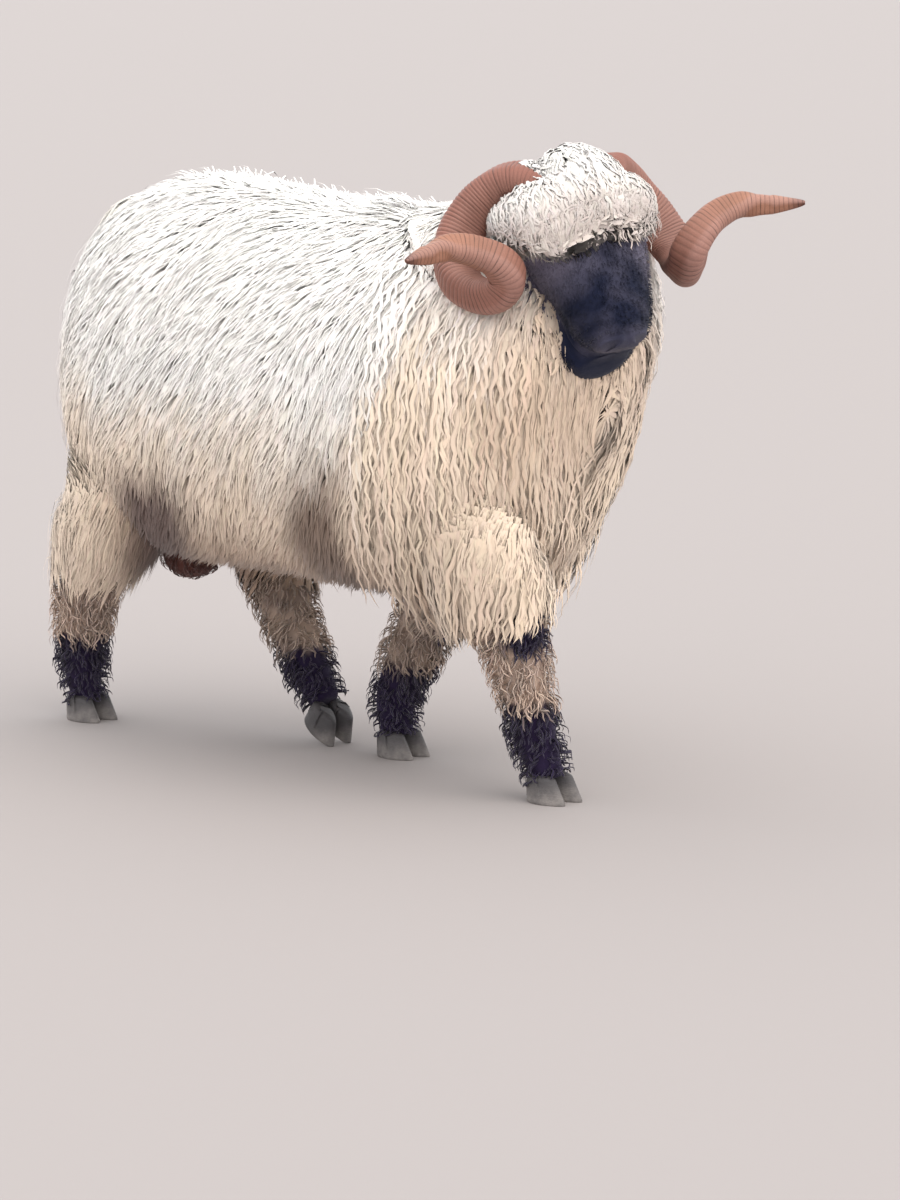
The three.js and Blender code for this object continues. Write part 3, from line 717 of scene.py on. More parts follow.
def lid_surface(side, rows=64, columns=14):
    """The lids: a ring round the eye's almond opening. Across the ring, v runs from the rim on the
    ball out over the lid's swelling, into its fold and down under the skin."""
    s, v = np.meshgrid(np.arange(rows) * 2 * pi / rows, np.linspace(0, 1, columns), indexing="ij")
    wide = LID_HALF * (1 + 1.25 * v)
    high = np.where(np.sin(s) > 0, UPPER_LID, LOWER_LID) * (1 + 1.9 * v)
    x = wide * np.sign(np.cos(s)) * np.abs(np.cos(s)) ** 0.9
    y = high * np.sin(s) * (1 - 0.25 * np.cos(s) ** 2)
    fold = 0.0012 * bell(v - 0.62, 0.07)
    radius = EYE_RADIUS + (0.0012 + 0.0028 * np.sin(pi * np.clip(v * 1.6, 0, 1)) - fold)
    ball = np.sqrt(np.maximum(radius**2 - np.minimum(x**2 + y**2, (0.86 * radius) ** 2), 0))
    out = ball - 0.016 * ease(v, 0.45, 1.0)
    looks, level = eye_axes(side)
    up = unit(np.cross(looks, level))
    up = up * np.sign(up @ head_axes()[1])
    return eye_centre(side) + level * x[..., None] + up * y[..., None] + looks * out[..., None]


def skin_features(points):
    """Moves the points of the muzzle in for the mouth, the split of the upper lip and the nostrils,
    and out for the lips and the nostrils' rims."""
    axes = head_axes()
    along, above, left = head_coords(points).T
    middle = on_head(0, 0, 0) + np.outer(along, axes[0]) + np.outer(np.full_like(along, -0.02), axes[1])
    outward = unit(points - middle)
    mouth = above - MOUTH_ABOVE - 0.006 * np.clip((0.272 - along) / 0.05, 0, 1.4) ** 2
    lips = 0.0025 * bell(mouth - 0.009, 0.006) + 0.0022 * bell(mouth + 0.009, 0.006)
    shift = (lips - 0.0065 * bell(mouth, 0.0022)) * ease(along, 0.205, 0.222)
    split = ease(along, 0.262, 0.276) * ease(above, MOUTH_ABOVE, MOUTH_ABOVE + 0.004)
    shift -= 0.004 * bell(left, 0.0018) * split * ease(-above, -0.012, -0.002)
    for side in (1, -1):
        shift += nostril(along, above, left, side)
    return points + outward * (shift * ease(along, 0.19, 0.21))[:, None]


def nostril(along, above, left, side):
    """How far out the skin moves at a nostril: in at its slanting comma, and out at the rim round it."""
    a, h = along - NOSTRIL_AT[0] + 0.004, above - NOSTRIL_AT[1] + 0.002
    w = left - side * NOSTRIL_AT[2]
    slant = h * 0.86 - side * w * 0.5
    cross = h * 0.5 + side * w * 0.86
    bent = cross - 0.004 * np.cos(slant / 0.008)
    comma = (slant / 0.0125) ** 2 + (bent / 0.0048) ** 2 + (a / 0.03) ** 2
    return 0.0028 * np.exp(-((np.sqrt(comma) - 1.7) ** 2) * 3.0) - 0.011 * np.exp(-(comma**1.5))


def skin_tint(points):
    """The markings at the skin: wool colours on the body, black on the face, ears, knees and socks."""
    colour = fleece_tint(points)
    colour = blend(colour, leg_tint(points), ease(-points[:, 2], -0.36, -0.30))
    colour = blend(colour, RUST, SCROTUM.contains(points, -0.01).astype(float))
    along = head_coords(points)[:, 0]
    face = (SKULL.contains(points, -0.012) | JAW.contains(points, -0.012)) & (along > 0.03)
    face &= outside((CROWN, BROW_COVER), (TOPKNOT, 0.0), (NECK, RUFF_COVER))(points)
    return blend(colour, face_tint(points), face.astype(float))


def fleece_tint(points):
    """White above, cream lower down and sooner on breast and thighs, and tan under the belly and the
    throat. Brown patches lie behind the elbow and in the groin."""
    forward = ORIGIN[1] - points[:, 1]
    z = points[:, 2] + 0.030 * drift(points, 0.22, 1) + 0.015 * drift(points, 0.07, 2)
    breast = ease(forward, 0.24, 0.36)
    thigh = ease(-forward, 0.24, 0.34)
    colour = blend(WHITE, CREAM, ease(0.60 + 0.15 * breast + 0.06 * thigh - z, 0.0, 0.17))
    colour = blend(colour, TAN, (0.85 - 0.7 * breast - 0.7 * thigh) * ease(-z, -0.44, -0.32))
    high = 0.7 * points[:, 2] + 0.3 * z
    # painted shade: brown behind the foreleg, and umber where the hind legs meet the belly
    elbow_shade = np.exp(-(((forward - 0.148 - 0.5 * np.maximum(high - 0.40, 0)) / 0.055) ** 4))
    elbow_shade = elbow_shade * ease(-high, -0.55, -0.43)
    between = forward - 0.885 * np.abs(points[:, 0] - ORIGIN[0])
    groin_shade = np.exp(-(((between + 0.352) / 0.080) ** 4)) * ease(-high, -0.49, -0.41)
    # painted shade: tan under the chin, where the head shades the neck
    under_chin_shade = ease(forward, 0.40, 0.46) * ease(-z, -0.80, -0.66) * ease(z, 0.45, 0.60)
    colour = blend(colour, TAN, 0.16 * breast + 0.45 * under_chin_shade)
    colour = blend(colour, BROWN, 0.45 * ease(-high, -0.35, -0.30) * (1 - breast) * (1 - thigh))
    colour = blend(colour, 0.8 * BROWN, 0.95 * elbow_shade)
    return blend(colour, UMBER, 0.95 * groin_shade)


def leg_tint(points):
    """Cream wool above, dusty brown and grey below it, muddier on the left, with black knees, hocks
    and socks."""
    z = points[:, 2] + 0.008 * drift(points, 0.03, 3)
    colour = blend(DUST, GREY, 0.45 + 0.45 * drift(points, 0.07, 4))
    # painted shade: the left legs, turned away from the light, are darker
    colour = colour * np.where(points[:, :1] > ORIGIN[0], 0.72, 1.0)
    colour = blend(colour, CREAM, ease(z, 0.27, 0.35))
    for knee in KNEES:
        gone = np.linalg.norm((points - body(*knee)) / np.array(KNEE_SIZE), axis=1)
        colour = blend(colour, SOCK, ease(-gone, -1.15, -0.75))
    return blend(colour, SOCK, ease(-z, -0.150, -0.134))


def face_tint(points):
    """Blue-black, paler slate on the cheeks and round the nostrils, darkest round the mouth."""
    along, above, left = head_coords(points).T
    # painted light: the upper cheeks and the sides of the face, lit from above, are paler slate
    cheek_light = ease(-along, -0.23, -0.13) * ease(above, -0.12, -0.04)
    cheek_light = cheek_light * (0.25 + 0.75 * ease(np.abs(left), 0.03, 0.07))
    # painted highlight: a paler patch on the nose above the mouth
    nose = 0.25 * ease(along, 0.255, 0.275) * ease(above, -0.032, -0.015)
    pale = np.clip(cheek_light + nose + 0.12 * drift(points, 0.05, 5), 0, 1)
    return blend(BLACK, SLATE, 0.85 * pale)


def split_faces(mesh, wanted):
    """Splits the mesh's faces whose middles pass the test."""
    shape = bmesh.new()
    shape.from_mesh(mesh)
    middles = np.array([face.calc_center_median() for face in shape.faces])
    faces = [face for face, keep in zip(shape.faces, wanted(middles)) if keep]
    edges = list({edge for face in faces for edge in face.edges})
    bmesh.ops.subdivide_edges(shape, edges=edges, cuts=1, use_grid_fill=True, smooth=0.0)
    bmesh.ops.triangulate(shape, faces=[face for face in shape.faces if len(face.verts) > 4])
    shape.to_mesh(mesh)
    shape.free()


def apply_modifiers(obj):
    """Puts the mesh that the object's modifiers make in place of its own."""
    made = bpy.data.meshes.new_from_object(obj.evaluated_get(bpy.context.evaluated_depsgraph_get()))
    old = obj.data
    obj.modifiers.clear()
    obj.data = made
    bpy.data.meshes.remove(old)


def on_face(low):
    """A test of points: in front of a place along the head, and outside the wool of the brow."""

    def test(points):
        along, above, left = head_coords(points).T
        close = (np.abs(left) < 0.13) & (above > -0.16) & (above < 0.1)
        return (along > low) & (along < 0.32) & close & ~CROWN.contains(points, 0.024)

    return test


def skin_parts():
    """Every form as points and faces, set in by the depth of its coat, and more at the front of the
    crown and the top of the legs, where other forms cover it."""
    crown = BROW_DEPTH + 0.06 * ease(np.linspace(0, 1, 30), 0.55, 0.85)[:, None]
    leg_inset = LEG_DEPTH + LEG_SUNK * (1 - ease(np.linspace(0, 1, 40), 0.05, 0.3))[:, None]
    parts = [
        form_mesh(TORSO, 60, 64, FLEECE_DEPTH),
        form_mesh(NECK, 40, 56, RUFF_DEPTH),
        form_mesh(TAIL, 24, 20, TAIL_DEPTH),
        form_mesh(SCROTUM, 16, 20, BAG_DEPTH),
        form_mesh(SKULL, 50, 56, FACE_DEPTH),
        form_mesh(JAW, 36, 40, FACE_DEPTH),
        form_mesh(LIPS, 30, 40, FACE_DEPTH),
        form_mesh(CROWN, 30, 48, crown),
        form_mesh(TOPKNOT, 24, 32, BROW_DEPTH),
    ]
    return parts + [form_mesh(leg, 40, 28, leg_inset) for leg in LEGS.values()]


def melt(skin):
    """Melts the skin's forms into one smooth mesh."""
    remesh = skin.modifiers.new("melt", "REMESH")
    remesh.mode, remesh.voxel_size, remesh.use_smooth_shade = "VOXEL", 0.006, True
    soften = skin.modifiers.new("soften", "SMOOTH")
    soften.factor, soften.iterations = 0.5, 6
    apply_modifiers(skin)


def thin(skin):
    """Leaves fewer faces to the skin under the wool, and lays them back on its full shape."""
    hidden = skin.vertex_groups.new(name="hidden")
    points = coordinates(skin.data)
    woolly = ~on_face(-0.03)(points) & (points[:, 2] > 0.3)
    hidden.add(np.flatnonzero(woolly).tolist(), 1.0, "REPLACE")
    whole = new_object("whole", skin.data.copy())
    fewer = skin.modifiers.new("thin", "DECIMATE")
    fewer.ratio, fewer.vertex_group = 0.25, "hidden"
    cling = skin.modifiers.new("cling", "SHRINKWRAP")
    cling.target = whole
    apply_modifiers(skin)
    bpy.data.objects.remove(whole)
    skin.vertex_groups.clear()


def make_skin():
    """One skin over the whole animal: its forms, set in by the depth of the coat, are melted into one
    mesh, which is split finer on the face, and the muzzle, ears and lids are worked on it."""
    skin = new_object("skin", joined("skin", skin_parts()))
    melt(skin)
    thin(skin)
    for low in (0.02, 0.185):
        split_faces(skin.data, on_face(low))
    skin.data.vertices.foreach_set("co", skin_features(coordinates(skin.data)).ravel())
    add_islands(skin.data)
    put_values(skin.data, "tint", skin_tint(coordinates(skin.data)))
    skin.data.materials.append(skin_material())
    skin.data.shade_smooth()
    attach(skin, "root")
    legs = [f"{name}_leg" for name in LEGS]
    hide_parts("torso", "neck", "head", "tail", "scrotum", "ear_left", "ear_right", *legs)


def add_islands(mesh):
    """Joins the ears and the lids to the skin's mesh."""
    shape = bmesh.new()
    for side in (1, -1):
        ear = ear_surface(side)
        shape.from_mesh(turned(mesh_of("ear", ear, grid_faces(*ear.shape[:2]))))
        lid = lid_surface(side)
        shape.from_mesh(turned(mesh_of("lid", lid, ring_faces(*lid.shape[:2]))))
    shape.from_mesh(mesh)
    shape.to_mesh(mesh)
    shape.free()


# The coat


def lock_pattern(rows, sides):
    """Triangles of one closed lock of rows rings and a tip, and their places round and along it."""
    i, j = np.meshgrid(np.arange(rows - 1), np.arange(sides), indexing="ij")
    i, j = i.ravel(), j.ravel()
    a, b = i * sides + j, i * sides + (j + 1) % sides
    quads = np.stack([a, b, b + sides, a, b + sides, a + sides], -1).reshape(-1, 3)
    low, high = i / rows, (i + 1) / rows
    left, right = j / sides, (j + 1) / sides
    round_ = np.stack([left, right, right, left, right, left], -1).reshape(-1, 3)
    along = np.stack([low, low, high, low, high, high], -1).reshape(-1, 3)
    k = np.arange(sides)
    last = (rows - 1) * sides
    tip = np.stack([last + k, last + (k + 1) % sides, np.full(sides, rows * sides)], -1)
    tip_round = np.stack([k / sides, (k + 1) / sides, (k + 0.5) / sides], -1)
    tip_along = np.stack([np.full(sides, (rows - 1) / rows)] * 2 + [np.ones(sides)], -1)
    cap = np.array([[0, n + 1, n] for n in range(1, sides - 1)])
    cap_round = cap / sides
    cap_along = np.zeros(cap.shape)
    triangles = np.concatenate([quads, tip, cap])
    across = np.concatenate([round_, tip_round, cap_round])
    return triangles, np.stack([across, np.concatenate([along, tip_along, cap_along])], -1)


PLACES_TRIED, PLACES_SPARE = 60000, 4000  # how many places sow picks from, and how many it leaves


def sow(form, density, inset, rng, low=0.0, high=1.0):
    """Random places on a form, so many to a square metre of it: (u, angle) pairs."""
    low, high, step = max(low, 0.004), min(high, 0.996), 0.004
    u = rng.uniform(low, high, PLACES_TRIED)
    angle = rng.uniform(0, 2 * pi, PLACES_TRIED)
    along = form.point(u + step, angle, inset) - form.point(u - step, angle, inset)
    around = form.point(u, angle + step, inset) - form.point(u, angle - step, inset)
    area = np.linalg.norm(np.cross(along, around), axis=1) / (4 * step**2)
    count = min(int(density * area.mean() * (high - low) * 2 * pi), PLACES_TRIED - PLACES_SPARE)
    picked = rng.choice(PLACES_TRIED, count, replace=False, p=area / area.sum())
    return u[picked], angle[picked]


def only(at, roots, kept):
    """The places that are kept, and their points."""
    return (at[0][kept], at[1][kept]), roots[kept]


def sown(form, density, depth, rng, keep, low=0.0, high=1.0):
    """Random places on a form that pass a test of their points on the skin, and those points."""
    at = sow(form, density, depth, rng, low, high)
    roots = form.point(*at, depth)
    return only(at, roots, keep(roots))


def horn_clear(points):
    """Points pushed out of the horns, to just past their surface."""
    close = np.linalg.norm(points - in_head(*HORNS_AROUND), axis=1) < HORNS_REACH
    moved = points.copy()
    for side in (1, -1):
        centre, _, _, _, size = horn_spine(side, 120)
        radius = 0.25 * (HORN_WIDE + HORN_DEEP) * size + 0.002
        met = moved[close]
        away = met[:, None] - centre
        distance = np.linalg.norm(away, axis=2)
        k = np.argmin(distance - radius, axis=1)
        n = np.arange(len(k))
        inside = distance[n, k] < radius[k]
        outermost = centre[k] + unit(away[n, k]) * radius[k][:, None]
        moved[close] = np.where(inside[:, None], outermost, met)
    return moved


def held(u):
    """u kept a little off the ends of a form."""
    return np.clip(u, 0.003, 0.997)


def walk(form, u, angle, lie, length, depth, t, steps=4):
    """The way of locks over a form, in a few straight steps along the lie, as (u, angle) at each t. Also
    gives the form's two slopes and its normal at the roots."""
    reach, swing = 0.004, 0.6
    us, angles, found = [u], [angle], []
    for _ in range(steps):
        v, a = np.clip(us[-1], reach, 1 - reach), angles[-1]
        along = (form.point(v + reach, a, depth) - form.point(v - reach, a, depth)) / (2 * reach)
        around = (form.point(v, a + reach, depth) - form.point(v, a - reach, depth)) / (2 * reach)
        normal = unit(np.cross(around, along))
        found.append((along, around, normal))
        level = unit(lie - normal * dot(lie, normal))
        pp, pa, aa = dot(along, along), dot(along, around), dot(around, around)
        lp, la = dot(level, along), dot(level, around)
        stride = (length / steps)[:, None] / np.maximum(pp * aa - pa * pa, 1e-12)
        us.append(held(us[-1] + (stride * (lp * aa - la * pa))[:, 0]))
        angles.append(a + np.clip(stride * (la * pp - lp * pa), -swing, swing)[:, 0])
    k = np.minimum((t * steps).astype(int), steps - 1)
    f = t * steps - k
    us, angles = np.stack(us, 1), np.stack(angles, 1)
    run_u = us[:, k] * (1 - f) + us[:, k + 1] * f
    run_angle = angles[:, k] * (1 - f) + angles[:, k + 1] * f
    return run_u, run_angle, *found[0]


def crimped(centre, out, length, t, curl, period, rng):
    """The middles of locks, curled about their line once in each period, in step with neighbours."""
    n = len(length)
    across = unit(np.cross(out, unit(np.gradient(centre, axis=1))))
    start = 0.9 * drift(centre[:, 0], 0.10, 31) + rng.uniform(0, 0.2, n)
    turns = length / period * rng.uniform(0.9, 1.1, n)
    phase = 2 * pi * (turns[:, None] * t + start[:, None])[..., None]
    size = (curl * rng.uniform(0.5, 1.4, n)[:, None] * np.sqrt(t) * (1 - 0.35 * t))[..., None]
    return centre + across * size * np.sin(phase) + out * size * 0.6 * np.cos(phase)


RISE = 5.0  # how soon a lock reaches the coat's outside
ROOT_SUNK = 1.08  # how deep the roots lie, as a share of the coat's depth
PIECE_LIMIT = 190000  # triangles in one piece of the coat
BAKE_PATCH = 0.003  # how much of the picture map a lock takes


def lean(value, slope, cell, pull, t):
    """How far locks lean along t to the middle of their clump, in the form's own coordinate."""
    size = cell / np.linalg.norm(slope, axis=1)
    return (((np.floor(value / size) + 0.5) * size - value) * pull)[:, None] * t**1.5


class Coat:
    """Locks grown on forms and gathered into pieces. Each lock is a closed body of rows rings and a tip,
    and its shading leans by soft towards the surface that it lies on."""

    def __init__(self, rows, profile=(0.6, 0.35, 0.4), soft=0.6, sides=3):
        self.rows, self.sides, self.soft = rows, sides, soft
        root, swell, end = profile
        t = np.linspace(0, 1, rows + 1)[:-1]
        rising = root + (1 - root) * np.sin(0.5 * pi * np.minimum(t / swell, 1))
        falling = 1 - (1 - end) * (np.maximum(t - swell, 0) / (1 - swell)) ** 1.5
        self.profile = np.where(t < swell, rising, falling)
        self.triangles, self.places = lock_pattern(rows, sides)
        self.points, self.normals, self.tints, self.roots = [], [], [], []

    def grow(
        self, form, at, lie, length, width, depth, top, tint, rng, tile=(0, 0, 1, 1),
        flat=0.4, curl=0.0, period=0.05, droop=0.0, pull=0.0, cell=0.03, clear=False,
    ):
        """Grows a lock at each (u, angle). Along t from 0 to 1 its middle runs over the form by
        length * t along the lie, and rises from the skin to the depth top below the outline as
        1 - (1 - t)^RISE. It leans to its clump's middle, curls, droops with t^2, and keeps clear of
        the horns when asked to."""
        u, angle = at
        t = np.linspace(0, 1, self.rows + 1)
        sunk = ROOT_SUNK * depth
        inset = sunk + (top[:, None] - sunk) * (1 - (1 - t) ** RISE)
        run_u, run_a, along, around, normal = walk(form, u, angle, lie, length, depth, t)
        run_u = held(run_u + lean(u, along, cell, pull, t))
        run_a = run_a + lean(angle, around, cell, pull, t)
        out = form.normal(run_u, run_a, 0.5 * depth)
        centre = crimped(form.point(run_u, run_a, inset), out, length, t, curl, period, rng)
        fall = np.clip(0.35 - normal[:, 2], 0, 1) * droop * length
        centre[..., 2] -= fall[:, None] * t**2
        points, normals = self.rings(centre, out, width, flat)
        if clear:
            points = horn_clear(points.reshape(-1, 3)).reshape(points.shape)
        x, y, wide, high = tile
        self.points.append(points)
        self.normals.append(normals)
        self.tints.append(tint)
        self.roots.append(np.stack([x + wide * (angle / (2 * pi) % 1), y + high * u], -1))

    def rings(self, centre, out, width, flat):
        """The points of locks about their middles, ring by ring and then the tip, and their normals."""
        n = len(centre)
        heading = unit(np.gradient(centre, axis=1))
        across = unit(np.cross(out, heading))
        above = np.cross(heading, across)
        turn = pi / 2 + 2 * pi * np.arange(self.sides) / self.sides
        cosine, sine = np.cos(turn)[:, None], np.sin(turn)[:, None]
        half = (0.5 * width[:, None] * self.profile)[..., None, None]
        across, above = across[:, :-1, None], above[:, :-1, None]
        rings = centre[:, :-1, None] + half * (across * cosine + flat * above * sine)
        points = np.concatenate([rings.reshape(n, -1, 3), centre[:, -1:]], axis=1)
        own = unit(flat * across * cosine + above * sine).reshape(n, -1, 3)
        own = np.concatenate([own, heading[:, -1:]], axis=1)
        under = np.concatenate([np.repeat(out[:, :-1], self.sides, axis=1), out[:, -1:]], axis=1)
        return points, unit(own * (1 - self.soft) + under * self.soft)

    def pieces(self, name, material):
        """Makes the gathered locks into meshes within the limit, in order along the body."""
        points = np.concatenate(self.points)
        tints = np.concatenate(self.tints)
        roots = np.concatenate(self.roots)
        normals = np.concatenate(self.normals)
        order = np.argsort(points[:, 0, 1], kind="stable")
        count = -(-len(points) * len(self.triangles) // PIECE_LIMIT)
        for k, ids in enumerate(np.array_split(order, count)):
            piece_name = f"{name}_{k + 1}" if count > 1 else name
            parts = points[ids], normals[ids], tints[ids], roots[ids]
            made = self.piece(piece_name, *parts, ids, material)
            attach(made, "root")

    def piece(self, name, points, normals, tints, roots, ids, material):
        """One mesh of locks, with each lock's tint, its reach from the root, and its two maps."""
        n, each = points.shape[:2]
        mesh = bpy.data.meshes.new(name)
        mesh.vertices.add(n * each)
        mesh.vertices.foreach_set("co", points.ravel())
        corners = (self.triangles[None] + (np.arange(n) * each)[:, None, None]).reshape(-1)
        mesh.loops.add(len(corners))
        mesh.loops.foreach_set("vertex_index", corners.astype(np.int32))
        mesh.polygons.add(len(corners) // 3)
        mesh.polygons.foreach_set("loop_start", np.arange(0, len(corners), 3, dtype=np.int32))
        mesh.update(calc_edges=True)
        mesh.shade_smooth()
        mesh.normals_split_custom_set_from_vertices(normals.reshape(-1, 3).tolist())
        reach = np.append(np.repeat(np.arange(self.rows) / self.rows, self.sides), 1.0)
        put_values(mesh, "reach", np.tile(reach, n))
        put_values(mesh, "tint", np.repeat(tints, each, axis=0))
        patch = roots[:, None, None] + (self.places[None] - 0.5) * BAKE_PATCH
        mesh.uv_layers.new(name="OFBake").uv.foreach_set("vector", patch.ravel())
        apart = np.stack([(ids * 0.377) % 17, (ids * 0.713) % 13], -1)
        strand = self.places[None] + apart[:, None, None]
        mesh.uv_layers.new(name="strand").uv.foreach_set("vector", strand.ravel())
        return new_object(name, mesh, material)


def spread(settings, rng, n, low=0.7, high=1.3):
    """Random lengths and widths of n locks."""
    return settings.length * rng.uniform(low, high, n), settings.width * rng.uniform(0.7, 1.3, n)


def varied(tint, rng, amount=0.05):
    """Tints that differ a little from lock to lock."""
    n = len(tint)
    brightness = 1 - amount + 2 * amount * rng.uniform(0, 1, (n, 1))
    return tint * brightness * (1 + rng.normal(0, 0.01, (n, 3)))


def wool_line(points):
    """How far above the lower edge of the long wool on the legs a point is."""
    edge = np.where(points[:, 1] > ORIGIN[1], HIND_WOOL_EDGE, FORE_WOOL_EDGE)
    return points[:, 2] - edge + 0.018 * drift(points, 0.06, 21)


# Layers of the fleece: share of the locks, width, how far below the outline they lie, share of wisps
FLEECE_LAYERS = (0.6, 1.8, (-0.001, 0.0005, 0.002), 0), (0.75, 0.4, (-0.006, -0.002, 0.0), 0.06)
WISP_HIGH = 0.008

# A tuft that stands up on the withers
CREST, CREST_HIGH, CREST_SIZE = (0.175, -0.02, 0.800), 0.016, 0.030


def make_fleece(settings):
    """The long wool of the body, neck and upper legs, down and back over them."""
    rng = np.random.default_rng(101)
    coat = Coat(3, (0.7, 0.35, 0.55), 0.9)
    grounds = [
        (TORSO, FLEECE_DEPTH, lambda p: off_the_neck(p) & clear_of_legs(p), (0, 0, 0.5, 1)),
        (NECK, RUFF_DEPTH, off_the_head, (0.5, 0, 0.25, 1)),
    ]
    for k, leg in enumerate(LEGS.values()):
        grounds.append((leg, LEG_DEPTH, on_leg, (0.75, k / 4, 0.25, 0.25)))
    for (form, depth, keep, tile), (share, wide, tops, wisps) in product(grounds, FLEECE_LAYERS):
        at, roots = sown(form, settings.density * share, depth, rng, keep)
        n = len(roots)
        lie = fleece_lie(roots) + rng.normal(0, 0.14, (n, 3))
        length, width = spread(settings, rng, n)
        top = rng.triangular(*tops, n) - WISP_HIGH * (rng.uniform(0, 1, n) < wisps)
        if depth == LEG_DEPTH:
            top += leg_top(roots)
        else:
            top -= CREST_HIGH * near(roots, body(*CREST), CREST_SIZE)
        shown = roots + 0.6 * length[:, None] * unit(lie)
        tint = varied(fleece_tint(shown), rng)
        if form is NECK:
            length = length * face_room(form, at, lie, length)
        coat.grow(
            form, at, lie, length, width * wide, depth, top, tint, rng, tile,
            flat=0.11, curl=0.0016, period=0.045, droop=0.35, pull=0.12, clear=form is NECK,
        )
    material = wool_material("fleece", strands=5.0, depth=0.0004, dark=0.97, contrast=0.08)
    coat.pieces("fleece", material)


def fleece_lie(roots):
    """The way the fleece lies: down, back over the body, apart on top, and with slow swirls."""
    swirl = np.stack([drift(roots, 0.25, 11), drift(roots, 0.2, 12), 0.6 * drift(roots, 0.3, 13)], -1)
    back = 0.8 - 0.6 * ease(ORIGIN[1] - roots[:, 1], 0.1, 0.32)
    return np.outer(back, way(-1, 0, 0)) + way(0, 0, -1) + parting(roots) + 0.38 * swirl


def parting(points):
    """The lean of the wool on top of the back and neck, away from the middle line."""
    aside = np.clip((points[:, 0] - ORIGIN[0]) / 0.08, -1, 1) * ease(points[:, 2], 0.66, 0.78)
    return np.outer(0.35 * aside, way(0, 1, 0))


def near(points, centre, size):
    """How near points lie to a centre: a bell of that size."""
    return np.exp(-np.sum(((points - centre) / size) ** 2, axis=-1))


def on_leg(points):
    """Whether points of a leg lie in its own long wool, above its lower edge and outside the torso."""
    clear = (wool_line(points) > 0) & ~TORSO.contains(points, FLEECE_DEPTH)
    return clear & (points[:, 2] < LEG_TOP + 0.05)


def leg_top(points):
    """How far the wool of a leg is set in, which sinks it under the body's wool at its top."""
    return LEG_SUNK * ease(points[:, 2], LEG_TOP - 0.12, LEG_TOP) - 0.006


def clear_of_legs(points):
    """Whether points lie outside the legs' own wool."""
    clear = np.ones(len(points), bool)
    for leg in LEGS.values():
        clear &= ~(leg.contains(points, LEG_DEPTH + 0.012) & (points[:, 2] < LEG_TOP - 0.07))
    return clear


def face_room(form, at, lie, length):
    """How much of their length locks keep, so that they end short of the face: at least a fifth."""
    start = form.point(*at, 0.0)
    room = np.ones(len(length))
    for t in np.linspace(1, 0.1, 10):
        reached = start + unit(lie) * (length * t)[:, None]
        met = JAW.contains(reached, -FACE_CLEAR) | SKULL.contains(reached, -FACE_CLEAR)
        room[met] = max(t - 0.1, 0.2)
    return room


off_the_neck = outside((NECK, RUFF_DEPTH + 0.01))
off_the_head = outside(
    (TORSO, FLEECE_DEPTH + 0.012), (CROWN, BROW_DEPTH + 0.006), (SKULL, 0.010), (JAW, 0.010)
)


def make_ruff(settings):
    """The long crimped locks that hang over the neck, the breast and the top of the forelegs."""
    rng = np.random.default_rng(202)
    coat = Coat(14, (0.6, 0.3, 0.3), 0.7)
    grounds = [
        (NECK, RUFF_DEPTH, off_the_head, 0.05, (0, 0, 0.5, 1)),
        (TORSO, FLEECE_DEPTH, off_the_neck, 0.62, (0.5, 0, 0.25, 1)),
        (LEGS["front_right"], LEG_DEPTH, on_leg, 0.0, (0.75, 0, 0.25, 0.5)),
        (LEGS["front_left"], LEG_DEPTH, on_leg, 0.0, (0.75, 0.5, 0.25, 0.5)),
    ]
    for form, depth, keep, low, tile in grounds:
        at, roots = sown(form, settings.density, depth, rng, keep, low)
        forward = ORIGIN[1] - roots[:, 1] + 0.03 * drift(roots, 0.08, 22)
        edge = ease(forward, 0.22, 0.33) * ease(-roots[:, 2], -0.86, -0.70)
        if depth == LEG_DEPTH:
            edge = edge * ease(-roots[:, 2], -LEG_TOP, 0.06 - LEG_TOP)
        at, roots = only(at, roots, rng.uniform(0, 1, len(roots)) < edge)
        n = len(roots)
        lie = way(-0.12, 0, -1) + parting(roots) + rng.normal(0, 0.07, (n, 3))
        length, width = spread(settings, rng, n, 0.6, 1.2)
        top = rng.triangular(-0.010, -0.005, 0.001, n)
        shown = roots + way(0, 0, -0.4) * length[:, None]
        tint = varied(fleece_tint(shown), rng, 0.08)
        if depth == LEG_DEPTH:
            top += leg_top(roots)
            length = np.minimum(length, 1.2 * np.maximum(roots[:, 2] - KNEE_TOP, 0.01))
        else:
            length = length * face_room(form, at, lie, length)
        coat.grow(
            form, at, lie, length, width, depth, top, tint, rng, tile,
            flat=0.25, curl=0.0048, period=0.030, droop=0.6, pull=0.4, cell=0.022, clear=form is NECK,
        )
    material = wool_material("ruff", strands=5.0, depth=0.0007, dark=0.93, contrast=0.16)
    coat.pieces("ruff", material)


# Layers of the brow's curls: share of the locks, width, how far below the outline they lie
BROW_LAYERS = (0.8, 2.4, (0.001, 0.002, 0.004)), (0.9, 0.8, (-0.004, -0.001, 0.001))


